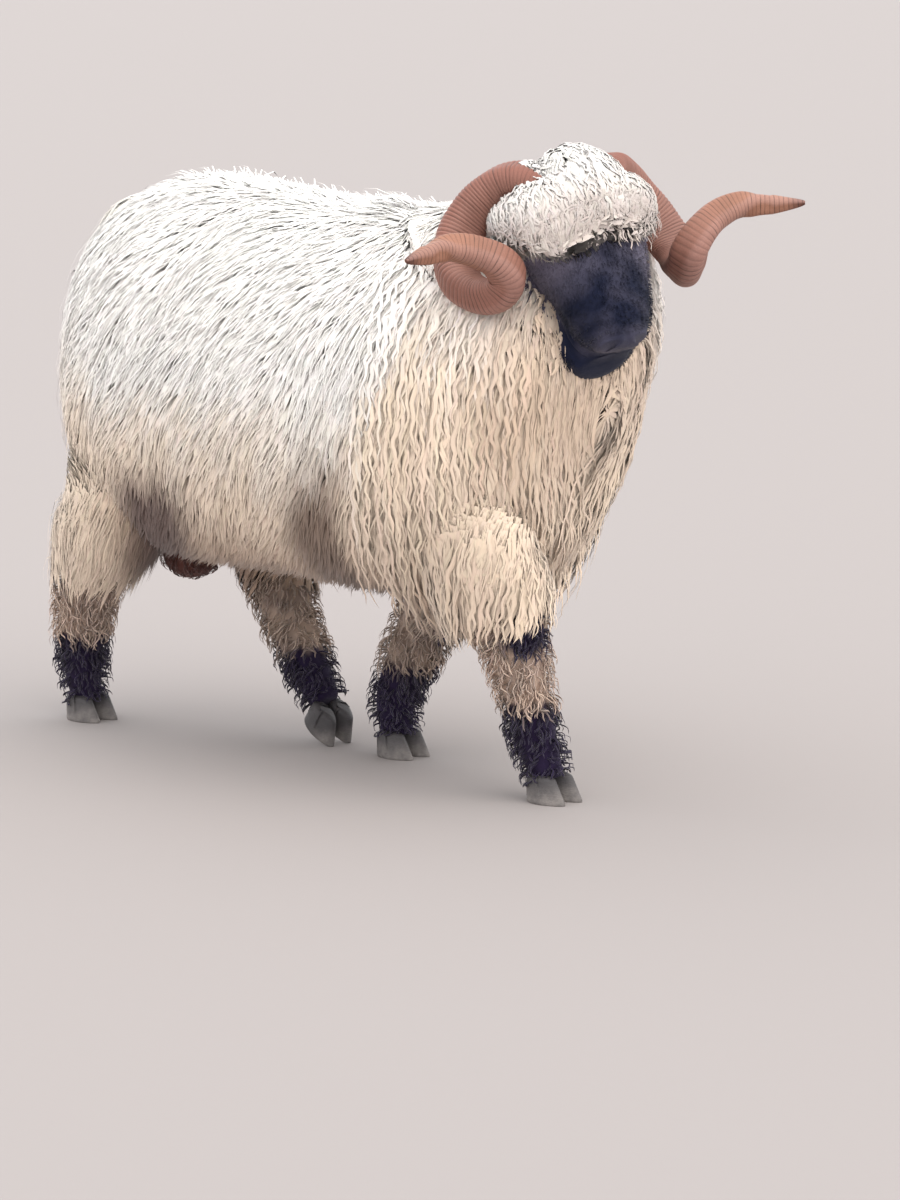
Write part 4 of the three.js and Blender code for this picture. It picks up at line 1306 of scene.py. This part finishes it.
def make_forelock(settings):
    """The curly locks over the brow and the tuft between the horns."""
    rng = np.random.default_rng(303)
    coat = Coat(8, (0.6, 0.3, 0.35), 0.7)
    grounds = (CROWN, TOPKNOT, (0, 0, 0.5, 1)), (TOPKNOT, CROWN, (0.5, 0, 0.5, 1))
    for (form, other, tile), (share, wide, tops) in product(grounds, BROW_LAYERS):
        keep = outside((other, BROW_DEPTH + 0.006), (NECK, RUFF_DEPTH + 0.02))
        at, roots = sown(form, settings.density * share, BROW_DEPTH, rng, keep)
        n = len(roots)
        along, _, left = head_coords(roots).T
        lie = np.stack([3.2 * left, np.full(n, -0.8), np.full(n, -0.6)], -1) @ HEAD_MATRIX.T
        lie = lie + rng.normal(0, 0.25, (n, 3))
        length, width = spread(settings, rng, n, 0.6, 1.2)
        room = np.clip((BROW_EDGE - along) / 0.06, 0.5, 1)
        top = rng.triangular(*tops, n)
        # painted shade: the curls turn a greyer pink towards the brow
        tint = varied(blend(0.85 * WHITE, FORELOCK_SHADE, ease(along, 0.0, 0.12)), rng, 0.08)
        coat.grow(
            form, at, lie, length * room, width * wide, BROW_DEPTH, top, tint, rng, tile,
            flat=0.22, curl=0.0032, period=0.021, droop=0.4, pull=0.4, cell=0.022, clear=True,
        )
    grow_fringe(coat, settings, rng)
    material = wool_material("forelock", strands=5.0, depth=0.0007, dark=0.95, contrast=0.16)
    coat.pieces("forelock", material)


FRINGE_DENSE, FRINGE_LENGTH, FRINGE_WIDTH = 6, 0.42, 0.5  # against the locks of the brow
FRINGE_HIGH = 0.022  # how high it stands under the brow's edge


def grow_fringe(coat, settings, rng):
    """The shorter wool with which the brow thins out over the face."""

    def keep(points):
        return in_fringe(points, rng.uniform(0, 1, len(points)))

    at, roots = sown(SKULL, FRINGE_DENSE * settings.density, FACE_DEPTH, rng, keep, 0.25, 0.65)
    n = len(roots)
    along, _, left = head_coords(roots).T
    lie = head_axes()[0] + np.outer(2.0 * left, head_axes()[2]) + rng.normal(0, 0.35, (n, 3))
    length, width = spread(settings, rng, n)
    # painted shade: the fringe under the brow's edge starts from the forelock's shaded tint
    tint = varied(blend(FORELOCK_SHADE, GREY, 0.5 * ease(along, 0.10, 0.15)), rng, 0.15)
    top = rng.triangular(-0.009, -0.003, 0.002, n)
    top = top - FRINGE_HIGH * rng.uniform(0.2, 1, n) * ease(-along, -0.140, -0.105)
    coat.grow(
        SKULL, at, lie, FRINGE_LENGTH * length, FRINGE_WIDTH * width, FACE_DEPTH, top, tint, rng,
        (0, 0, 0.5, 1), flat=0.22, curl=0.0022, period=0.016, pull=0.4, cell=0.014,
    )


def in_fringe(points, chance):
    """Whether points of the face lie where the brow's wool thins out over it."""
    along, above, left = head_coords(points).T
    edge = BROW_EDGE - 0.020 + 0.008 * drift(points, 0.04, 23) - 2.0 * left**2
    eye = (np.hypot(along - EYE_AT[0], above - EYE_AT[1] + 0.004) < 0.022) & (np.abs(left) > 0.055)
    front = (above > 0.5 * (along - 0.08)) & (along > 0.07)
    return (chance < ease(edge - along, -0.008, 0.024)) & front & ~eye


def make_leg_wool(settings):
    """The short dusty curls of the legs, with their black socks and knees, and of the scrotum."""
    rng = np.random.default_rng(404)
    coat = Coat(5, (0.7, 0.4, 0.4), 0.35)
    for k, leg in enumerate(LEGS.values()):
        at, roots = sown(leg, settings.density, LEG_DEPTH, rng, below_long_wool, 0.1, 0.97)
        n = len(roots)
        lie = way(0, 0, -1) + rng.normal(0, 0.35, (n, 3))
        length, width = spread(settings, rng, n)
        short = 0.6 + 0.4 * ease(roots[:, 2], 0.05, 0.16)
        top = rng.triangular(-0.008, 0.0, 0.007, n)
        tint = varied(leg_tint(roots), rng, 0.2)
        coat.grow(
            leg, at, lie, length * short, width, LEG_DEPTH, top, tint, rng, (k / 4, 0.2, 0.25, 0.8),
            flat=0.3, curl=0.0026, period=0.018, pull=0.4, cell=0.014,
        )
    keep = outside((TORSO, FLEECE_DEPTH))
    at, roots = sown(SCROTUM, settings.density, BAG_DEPTH, rng, keep)
    n = len(roots)
    length, width = spread(settings, rng, n)
    lie = way(0, 0, -1) + rng.normal(0, 0.3, (n, 3))
    top = rng.triangular(-0.004, 0, 0.002, n)
    tint = varied(np.broadcast_to(RUST, (n, 3)), rng, 0.2)
    coat.grow(
        SCROTUM, at, lie, length * 0.6, width * 0.7, BAG_DEPTH, top, tint, rng, (0, 0, 1, 0.2),
        curl=0.001,
    )
    material = wool_material("leg_wool", strands=6.0, depth=0.0007, dark=0.8)
    coat.pieces("leg_wool", material)


def below_long_wool(points):
    """Whether points of a leg lie under the edge of its long wool."""
    return wool_line(points) < 0.005


def make_face_hair(settings):
    """The short close hair of the face, which lies towards the muzzle, and the jaw's deeper wool."""
    rng = np.random.default_rng(505)
    coat = Coat(2, (0.8, 0.4, 0.7), 0.5)
    for form, other, tile in ((SKULL, JAW, (0, 0, 0.5, 1)), (JAW, SKULL, (0.5, 0, 0.5, 1))):
        at, roots = sown(
            form, settings.density, FACE_DEPTH, rng,
            lambda p: ~other.contains(p, FACE_DEPTH + 0.001) & haired(p), 0.12, 0.97,
        )
        n = len(roots)
        along, _, left = head_coords(roots).T
        fluff = ease(np.abs(left), 0.035, 0.065) * ease(along, 0.08, 0.13) * ease(-along, -0.25, -0.19)
        fluff = fluff * (form is JAW)
        lie = head_axes()[0] + rng.normal(0, 0.2, (n, 3)) - np.outer(0.8 * fluff, head_axes()[1])
        length, width = spread(settings, rng, n)
        length = length * (1 - 0.4 * ease(along, 0.16, 0.26)) * (1 + 1.6 * fluff)
        width = width * (1 + fluff)
        top = rng.triangular(-0.0022, 0.0, 0.002, n) - CHEEK_FLUFF * fluff * rng.uniform(0, 1, n)
        tint = varied(face_tint(roots), rng, 0.2)
        coat.grow(form, at, lie, length, width, FACE_DEPTH, top, tint, rng, tile)
    material = wool_material("face_hair", strands=4.0, depth=0.0004, dark=0.7, contrast=0.4, sheen=0.2)
    coat.pieces("face_hair", material)


def haired(points):
    """Whether points of the head lie clear of the brow's wool, the eyes, the mouth and the bare tip of
    the nose."""
    along, above, left = head_coords(points).T
    eye = (np.hypot(along - EYE_AT[0], above - EYE_AT[1]) < 0.024) & (np.abs(left) > 0.05)
    mouth = (np.abs(above - MOUTH_ABOVE) < 0.006) & (along > 0.21)
    nose = (np.hypot(above - NOSTRIL_AT[1], np.abs(left) - NOSTRIL_AT[2]) < 0.018) & (along > 0.24)
    return ~(eye | mouth | nose) & (along < 0.275) & ~CROWN.contains(points, BROW_DEPTH)


def make_tail_wool(settings):
    """The wool of the tail, which hangs against the rump."""
    rng = np.random.default_rng(606)
    coat = Coat(4, (0.7, 0.35, 0.5), 0.85)
    at = sow(TAIL, settings.density, TAIL_DEPTH, rng)
    at, roots = only(at, TAIL.point(*at, TAIL_DEPTH), np.sin(at[1]) < 0.2)
    n = len(roots)
    lie = way(-0.05, 0, -1) + rng.normal(0, 0.15, (n, 3))
    length, width = spread(settings, rng, n)
    top = rng.triangular(-0.003, 0.0, 0.003, n)
    tint = varied(fleece_tint(roots), rng)
    coat.grow(
        TAIL, at, lie, length, width, TAIL_DEPTH, top, tint, rng,
        flat=0.15, curl=0.0016, period=0.04, pull=0.12,
    )
    coat.pieces("tail_wool", bpy.data.materials["fleece"])


# Horns, claws and eyes


def curve(points, count):
    """A centripetal Catmull-Rom curve through points, with its ends carried on straight, at even steps
    of length."""
    p = np.asarray(points, float)
    p = np.vstack([2 * p[0] - p[1], p, 2 * p[-1] - p[-2]])
    gap = np.linalg.norm(np.diff(p, axis=0), axis=1) ** 0.5
    fine = []
    for i in range(1, len(p) - 2):
        d0, d1, d2 = gap[i - 1], gap[i], gap[i + 1]
        m1 = d1 * ((p[i] - p[i - 1]) / d0 - (p[i + 1] - p[i - 1]) / (d0 + d1) + (p[i + 1] - p[i]) / d1)
        m2 = d1 * ((p[i + 1] - p[i]) / d1 - (p[i + 2] - p[i]) / (d1 + d2) + (p[i + 2] - p[i + 1]) / d2)
        f = np.linspace(0, 1, 60, endpoint=False)[:, None]
        a, b = p[i], p[i + 1]
        fine.append(a + m1 * f + (3 * (b - a) - 2 * m1 - m2) * f**2 + (2 * (a - b) + m1 + m2) * f**3)
    fine = np.vstack(fine + [p[-2:-1]])
    run = np.concatenate([[0], np.cumsum(np.linalg.norm(np.diff(fine, axis=0), axis=1))])
    even = np.linspace(0, run[-1], count)
    return np.stack([np.interp(even, run, fine[:, k]) for k in range(3)], -1)


def horn_spine(side, rows):
    """The middles of a horn's rings, the two directions across them, how far along they are and their
    size."""
    t = np.linspace(0, 0.995, rows)
    centre = curve([way(*p) for p in HORN_PATH], rows)
    along = unit(np.gradient(centre, axis=0))
    if side > 0:
        centre = centre + way(*LEFT_SWAY) * np.sin(pi * np.minimum(1, t / 0.62))[:, None]
    out = centre - way(*COIL_MIDDLE)
    out = unit(out - along * dot(out, along))
    across = np.cross(out, along)
    size = (1 - t**2) ** 0.55
    centre, out, across = (for_side(v, side) for v in (centre, out, across))
    return body(*HEAD_AT) + centre, out, across, t, size


def horn_surface(rings, side, rows, columns):
    """The points of a horn, its ridges, and how far along and how far round each point is. A ring's
    radius is its size, times a three-sided keel, times a ridge for each of the growth rings."""
    centre, out, across, t, size = horn_spine(side, rows)
    a, s = np.meshgrid(np.arange(columns) * 2 * pi / columns, t)
    wander = 0.35 * np.sin(a + 3 * side) + 0.2 * np.sin(2 * a + 40 * s) + 0.5 * np.sin(37 * s)
    ridge = np.abs(np.sin((2 * pi * rings * s**0.88 + wander) / 2)) ** 0.7
    rough = 0.030 * (1 - ease(s, 0.35, 0.8)) + 0.008
    long_wave = 0.015 * np.sin(2 * pi * 9 * s**0.9)
    keel = 1 + 0.12 * np.cos(3 * a)
    r = size[:, None] * keel * (1 + rough * (ridge - 0.6) + long_wave)
    deep = out[:, None] * (0.5 * HORN_DEEP * r * np.cos(a))[..., None]
    wide = across[:, None] * (0.5 * HORN_WIDE * r * np.sin(a))[..., None]
    return centre[:, None] + deep - wide, ridge, s, a


def make_horns(settings):
    """Horns: out of the forehead, round the ear in an open coil, and flared to the side."""
    rows, columns = 460, 56
    material = horn_material()
    for name, side in (("left", 1), ("right", -1)):
        points, ridge, s, a = horn_surface(settings.rings, side, rows, columns)
        mesh = turned(mesh_of(f"horn_{name}_fine", points, grid_faces(rows, columns)))
        put_values(mesh, "ring", ridge.ravel())
        put_values(mesh, "along", s.ravel())
        put_values(mesh, "inner", (0.5 - 0.5 * np.cos(a)).ravel())
        horn = new_object(mesh.name, mesh, material)
        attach(horn, "root")
        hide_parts(f"horn_{name}")


def horn_material():
    """Horn: terracotta, darker in the grooves, paler pink inside the coil and ochre towards the tip."""
    shop = Shop("horn", Specular_IOR_Level=0.4)
    where = shop.place()
    ring, along, inner = shop.kept("ring"), shop.kept("along"), shop.kept("inner")
    fine = shop.noise(where, 420.0, 5.0, 0.65)
    broad = shop.noise(where, 26.0, 3.0)
    base = shop.mix((0.27, 0.105, 0.074), (0.29, 0.128, 0.094), shop.between(along, 0.25, 0.55))
    base = shop.mix(base, (0.36, 0.165, 0.105), shop.between(along, 0.60, 0.85))
    base = shop.mix(base, (0.12, 0.045, 0.030), shop.between(along, 0.94, 0.99))
    base = shop.mix(base, (0.36, 0.19, 0.15), shop.between(inner, 0.55, 1.0) * 0.7)
    base = shop.mix(base, (0.44, 0.245, 0.205), (1 - shop.between(inner, 0.0, 0.16)) * 0.5)
    groove = 0.35 + 0.7 * shop.between(ring, 0.05, 0.65)
    shade = groove * (0.67 + 0.5 * fine) * (0.72 + 0.5 * broad)
    bump = shop.bump(fine * 0.6 + ring * 0.4, 0.0007)
    return shop.finish(Base_Color=shop.scaled(base, shade), Roughness=0.46 + 0.22 * fine, Normal=bump)


def claw_surface(rows, columns):
    """A claw's points: forward of its middle, aside and up. At a level up from the sole the outline is
    an egg, which narrows towards the toe and leans back, with shallow growth rings."""
    level, angle = grid(rows, columns)
    ring = 1 + 0.008 * np.sin(2 * pi * 9 * level) * ease(level, 0.05, 0.15)
    edge = 1 - 0.05 * (1 - ease(level, 0, 0.08)) - 0.30 * ease(level, 0.86, 1.0) ** 2
    reach = CLAW_LONG * 0.5 * (1 - 0.16 * level) * ring * edge
    narrow = 1 - 0.28 * np.maximum(0, np.cos(angle))
    slant = -CLAW_HIGH * 0.42 * level * np.where(np.cos(angle) > 0, 1, 0.35)
    x = reach * np.cos(angle) + slant
    y = CLAW_WIDE * 0.5 * (1 - 0.1 * level) * ring * edge * np.sin(angle) * narrow
    return x, y, CLAW_HIGH * level


def make_claws():
    """Claws, two to a foot. A lifted foot turns about its toe, which is trimmed to a small flat."""
    material = claw_material()
    rows, columns = 26, 48
    x, y, z = claw_surface(rows, columns)
    toe = 0.5 * CLAW_LONG
    for foot, (forward, left, lift) in FEET.items():
        for name, side in (("left", 1), ("right", -1)):
            local = np.stack([y, -(x - toe), z], -1) @ rotation(0, radians(lift)).T
            points = local + body(forward + toe, left + side * CLAWS_APART / 2, -TOE_FLAT if lift else 0)
            points[..., 2] = np.maximum(points[..., 2], 0.0)
            mesh = turned(mesh_of(f"claw_{foot}_{name}_fine", points, grid_faces(rows, columns)))
            claw = new_object(mesh.name, mesh, material)
            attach(claw, "root")
            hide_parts(f"claw_{foot}_{name}")


def claw_material():
    """Claw horn: grey-black, dusty and paler at the sole's edge."""
    shop = Shop("claw", Specular_IOR_Level=0.4)
    where = shop.place()
    fine = shop.noise(shop.stretched(where, (1, 1, 6)), 220.0, 4.0)
    height = shop.node("ShaderNodeSeparateXYZ", {}, {0: where}, out=2)
    dusty = (1.15 - shop.between(height, 0.004, 0.034)) * shop.noise(where, 70.0)
    base = shop.mix((0.045, 0.041, 0.045), (0.30, 0.27, 0.25), dusty)
    colour, rough = shop.scaled(base, 0.7 + 0.6 * fine), 0.5 + 0.3 * dusty
    return shop.finish(Base_Color=colour, Roughness=rough, Normal=shop.bump(fine, 0.0006))


def make_eyes():
    """Eyes: balls with a swollen cornea, whose iris is drawn on their own level and upright
    coordinates."""
    rows, columns = 48, 64
    v, a = grid(rows, columns, start=0.001)
    from_front = pi * v
    swell = 1 + 0.05 * bell(from_front, 0.5)
    x, y = np.sin(from_front) * np.cos(a), np.sin(from_front) * np.sin(a)
    material = eye_material()
    for name, side in (("left", 1), ("right", -1)):
        looks, level = eye_axes(side)
        up = np.cross(looks, level)
        ball = level * x[..., None] + up * y[..., None] + looks * np.cos(from_front)[..., None]
        points = eye_centre(side) + EYE_RADIUS * swell[..., None] * ball
        mesh = turned(mesh_of(f"eye_{name}_fine", points, grid_faces(rows, columns)))
        put_values(mesh, "level", x.ravel())
        put_values(mesh, "upright", y.ravel())
        eye = new_object(mesh.name, mesh, material)
        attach(eye, "root")
        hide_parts(f"eye_{name}")


def eye_material():
    """A wet amber iris with fine spokes, and a dark level pupil."""
    shop = Shop("eye", Roughness=0.08, Coat_Weight=0.8, Coat_Roughness=0.03)
    x, y = shop.kept("level"), shop.kept("upright")
    radius = (x * x + y * y) ** 0.5
    spokes = shop.noise(shop.place(), 900.0, 2.0)
    iris = shop.mix((0.30, 0.15, 0.035), (0.10, 0.045, 0.012), shop.between(radius, 0.3, 0.72))
    iris = shop.scaled(iris, 0.6 + 0.8 * spokes)
    pupil = 1 - shop.between((x / 0.46) ** 2 + (y / 0.2) ** 2, 0.8, 1.15)
    colour = shop.mix(iris, (0.004, 0.004, 0.006), pupil)
    white = shop.between(radius, 0.74, 0.82)
    colour = shop.mix(colour, (0.11, 0.06, 0.045), white)
    return shop.finish(Base_Color=colour)


# The stage


FLOOR_HALF, FLOOR_COLOUR = 60, (0.345, 0.312, 0.302, 1)
SKY_COLOUR, SKY_STRENGTH = (0.97, 0.98, 1.0, 1), 1.45
SENSOR = 36  # millimetres, over the picture's height

# Lamps seen from the camera: how far right, beyond and up, strength, width in degrees, and colour
LAMPS = {
    "key": ((2.2, -2.6, 4.2), 1.5, 60, (1.0, 0.95, 0.89)),
    "rim": ((-3.0, 3.0, 3.4), 0.6, 60, (1.0, 0.98, 0.96)),
}


def make_stage():
    """A wide pale floor, soft light from above and the right, and the camera."""
    corners = [(-FLOOR_HALF, -FLOOR_HALF, 0), (FLOOR_HALF, -FLOOR_HALF, 0)]
    corners += [(FLOOR_HALF, FLOOR_HALF, 0), (-FLOOR_HALF, FLOOR_HALF, 0)]
    shop = Shop("floor", Roughness=0.9, Base_Color=FLOOR_COLOUR)
    floor = new_object("floor", mesh_of("floor", corners, [[0, 1, 2, 3]]), shop.material)
    world = bpy.data.worlds.new("studio")
    bpy.context.scene.world = world
    world.use_nodes = True
    sky = world.node_tree.nodes["Background"]
    sky.inputs["Color"].default_value = SKY_COLOUR
    sky.inputs["Strength"].default_value = SKY_STRENGTH
    bpy.context.scene.view_settings.view_transform = "Standard"
    beyond = Vector((-sin(AZIMUTH), cos(AZIMUTH), 0))
    right = Vector((cos(AZIMUTH), sin(AZIMUTH), 0))
    for name, ((aside, back, up), energy, wide, colour) in LAMPS.items():
        lamp = bpy.data.lights.new(name, "SUN")
        lamp.energy, lamp.angle, lamp.color = energy, radians(wide), colour
        stand_at(name, lamp, right * aside + beyond * back + Vector((0, 0, up)), Vector((0, 0, 0)))
    camera = bpy.data.cameras.new("camera")
    camera.sensor_fit, camera.sensor_height = "VERTICAL", SENSOR
    camera.lens = SENSOR * FOCAL / FRAME_HIGH
    away = Vector((0, 0, DISTANCE * sin(ELEVATION))) - beyond * (cos(ELEVATION) * DISTANCE)
    target = Vector(LOOK_AT)
    bpy.context.scene.camera = stand_at("camera", camera, target + away, target)


def stand_at(name, data, place, target):
    """A lamp or camera that stands at a place and looks at a target."""
    made = bpy.data.objects.new(name, data)
    made.location = place
    made.rotation_euler = (target - place).to_track_quat("-Z", "Y").to_euler()
    bpy.context.scene.collection.objects.link(made)
    return made


# The add-on


def lock_settings(name, density, length, width):
    """A property group for one kind of lock."""
    sizes = {"unit": "LENGTH", "precision": 4}
    fields = {
        "density": bpy.props.FloatProperty(
            name="Density", description="Locks to a square metre", default=density, min=10
        ),
        "length": bpy.props.FloatProperty(
            name="Length", description="Length of a lock along the body", default=length, **sizes
        ),
        "width": bpy.props.FloatProperty(
            name="Width", description="Width of a lock at its widest", default=width, **sizes
        ),
    }
    contents = {"__annotations__": fields, "__doc__": "Sizes of one kind of lock"}
    return type(name, (bpy.types.PropertyGroup,), contents)


RamFleece = lock_settings("RamFleece", 23000, 0.058, 0.0061)
RamRuff = lock_settings("RamRuff", 5500, 0.125, 0.0075)
RamForelock = lock_settings("RamForelock", 20000, 0.066, 0.0065)
RamLegWool = lock_settings("RamLegWool", 18500, 0.022, 0.0038)
RamFaceHair = lock_settings("RamFaceHair", 80000, 0.0070, 0.0014)
RamTailWool = lock_settings("RamTailWool", 30000, 0.050, 0.0075)


class RamHorns(bpy.types.PropertyGroup):
    """Sizes of the horns"""

    rings: bpy.props.IntProperty(
        name="Rings", description="Growth rings along a horn", default=96, min=1
    )


class RAM_OT_skin(bpy.types.Operator):
    """Builds the skin, with its ears, lids, mouth and nostrils"""

    bl_idname = "ram.skin"
    bl_label = "Skin"

    def execute(self, context):
        make_skin()
        return {"FINISHED"}


class RAM_OT_eyes(bpy.types.Operator):
    """Builds the eyes"""

    bl_idname = "ram.eyes"
    bl_label = "Eyes"

    def execute(self, context):
        make_eyes()
        return {"FINISHED"}


class RAM_OT_horns(bpy.types.Operator):
    """Builds the horns with their rings"""

    bl_idname = "ram.horns"
    bl_label = "Horns"

    def execute(self, context):
        make_horns(context.scene.ram_horns)
        return {"FINISHED"}


class RAM_OT_claws(bpy.types.Operator):
    """Builds the claws"""

    bl_idname = "ram.claws"
    bl_label = "Claws"

    def execute(self, context):
        make_claws()
        return {"FINISHED"}


class RAM_OT_fleece(bpy.types.Operator):
    """Grows the wool of the body and the tail"""

    bl_idname = "ram.fleece"
    bl_label = "Fleece"

    def execute(self, context):
        make_fleece(context.scene.ram_fleece)
        make_tail_wool(context.scene.ram_tail_wool)
        return {"FINISHED"}


class RAM_OT_ruff(bpy.types.Operator):
    """Grows the wool of the neck and breast"""

    bl_idname = "ram.ruff"
    bl_label = "Ruff"

    def execute(self, context):
        make_ruff(context.scene.ram_ruff)
        return {"FINISHED"}


class RAM_OT_forelock(bpy.types.Operator):
    """Grows the curls over the brow"""

    bl_idname = "ram.forelock"
    bl_label = "Forelock"

    def execute(self, context):
        make_forelock(context.scene.ram_forelock)
        return {"FINISHED"}


class RAM_OT_leg_wool(bpy.types.Operator):
    """Grows the wool of the legs"""

    bl_idname = "ram.leg_wool"
    bl_label = "Leg wool"

    def execute(self, context):
        make_leg_wool(context.scene.ram_leg_wool)
        return {"FINISHED"}


class RAM_OT_face_hair(bpy.types.Operator):
    """Grows the short hair of the face"""

    bl_idname = "ram.face_hair"
    bl_label = "Face hair"

    def execute(self, context):
        make_face_hair(context.scene.ram_face_hair)
        return {"FINISHED"}


class RAM_OT_stage(bpy.types.Operator):
    """Sets the floor, the light and the camera"""

    bl_idname = "ram.stage"
    bl_label = "Stage"

    def execute(self, context):
        make_stage()
        return {"FINISHED"}


OPERATORS = (
    RAM_OT_stage,
    RAM_OT_skin,
    RAM_OT_eyes,
    RAM_OT_horns,
    RAM_OT_claws,
    RAM_OT_fleece,
    RAM_OT_ruff,
    RAM_OT_forelock,
    RAM_OT_leg_wool,
    RAM_OT_face_hair,
)
SETTINGS = {
    "ram_fleece": RamFleece,
    "ram_ruff": RamRuff,
    "ram_forelock": RamForelock,
    "ram_leg_wool": RamLegWool,
    "ram_face_hair": RamFaceHair,
    "ram_tail_wool": RamTailWool,
    "ram_horns": RamHorns,
}


class RAM_PT_parts(bpy.types.Panel):
    """Lists the ram's parts in the sidebar"""

    bl_idname = "RAM_PT_parts"
    bl_label = "Ram"
    bl_space_type = "VIEW_3D"
    bl_region_type = "UI"
    bl_category = "Ram"

    def draw(self, context):
        for operator in OPERATORS:
            self.layout.operator(operator.bl_idname)
        for name, group in SETTINGS.items():
            box = self.layout.box()
            box.label(text=group.__name__)
            for field in group.__annotations__:
                box.prop(getattr(context.scene, name), field)


def register():
    """Registers the sizes, the operators and the panel."""
    for group in SETTINGS.values():
        bpy.utils.register_class(group)
    for name, group in SETTINGS.items():
        setattr(bpy.types.Scene, name, bpy.props.PointerProperty(type=group))
    for operator in (*OPERATORS, RAM_PT_parts):
        bpy.utils.register_class(operator)


def unregister():
    """Takes back what register has registered, in the opposite order."""
    for operator in (RAM_PT_parts, *OPERATORS[::-1]):
        bpy.utils.unregister_class(operator)
    for name, group in SETTINGS.items():
        delattr(bpy.types.Scene, name)
        bpy.utils.unregister_class(group)


def main():
    """Builds every piece in order, and writes the boxes of the solids and of the visual model."""
    register()
    for operator in OPERATORS:
        area, action = operator.bl_idname.split(".")
        getattr(getattr(bpy.ops, area), action)()


if __name__ == "__main__":
    main()
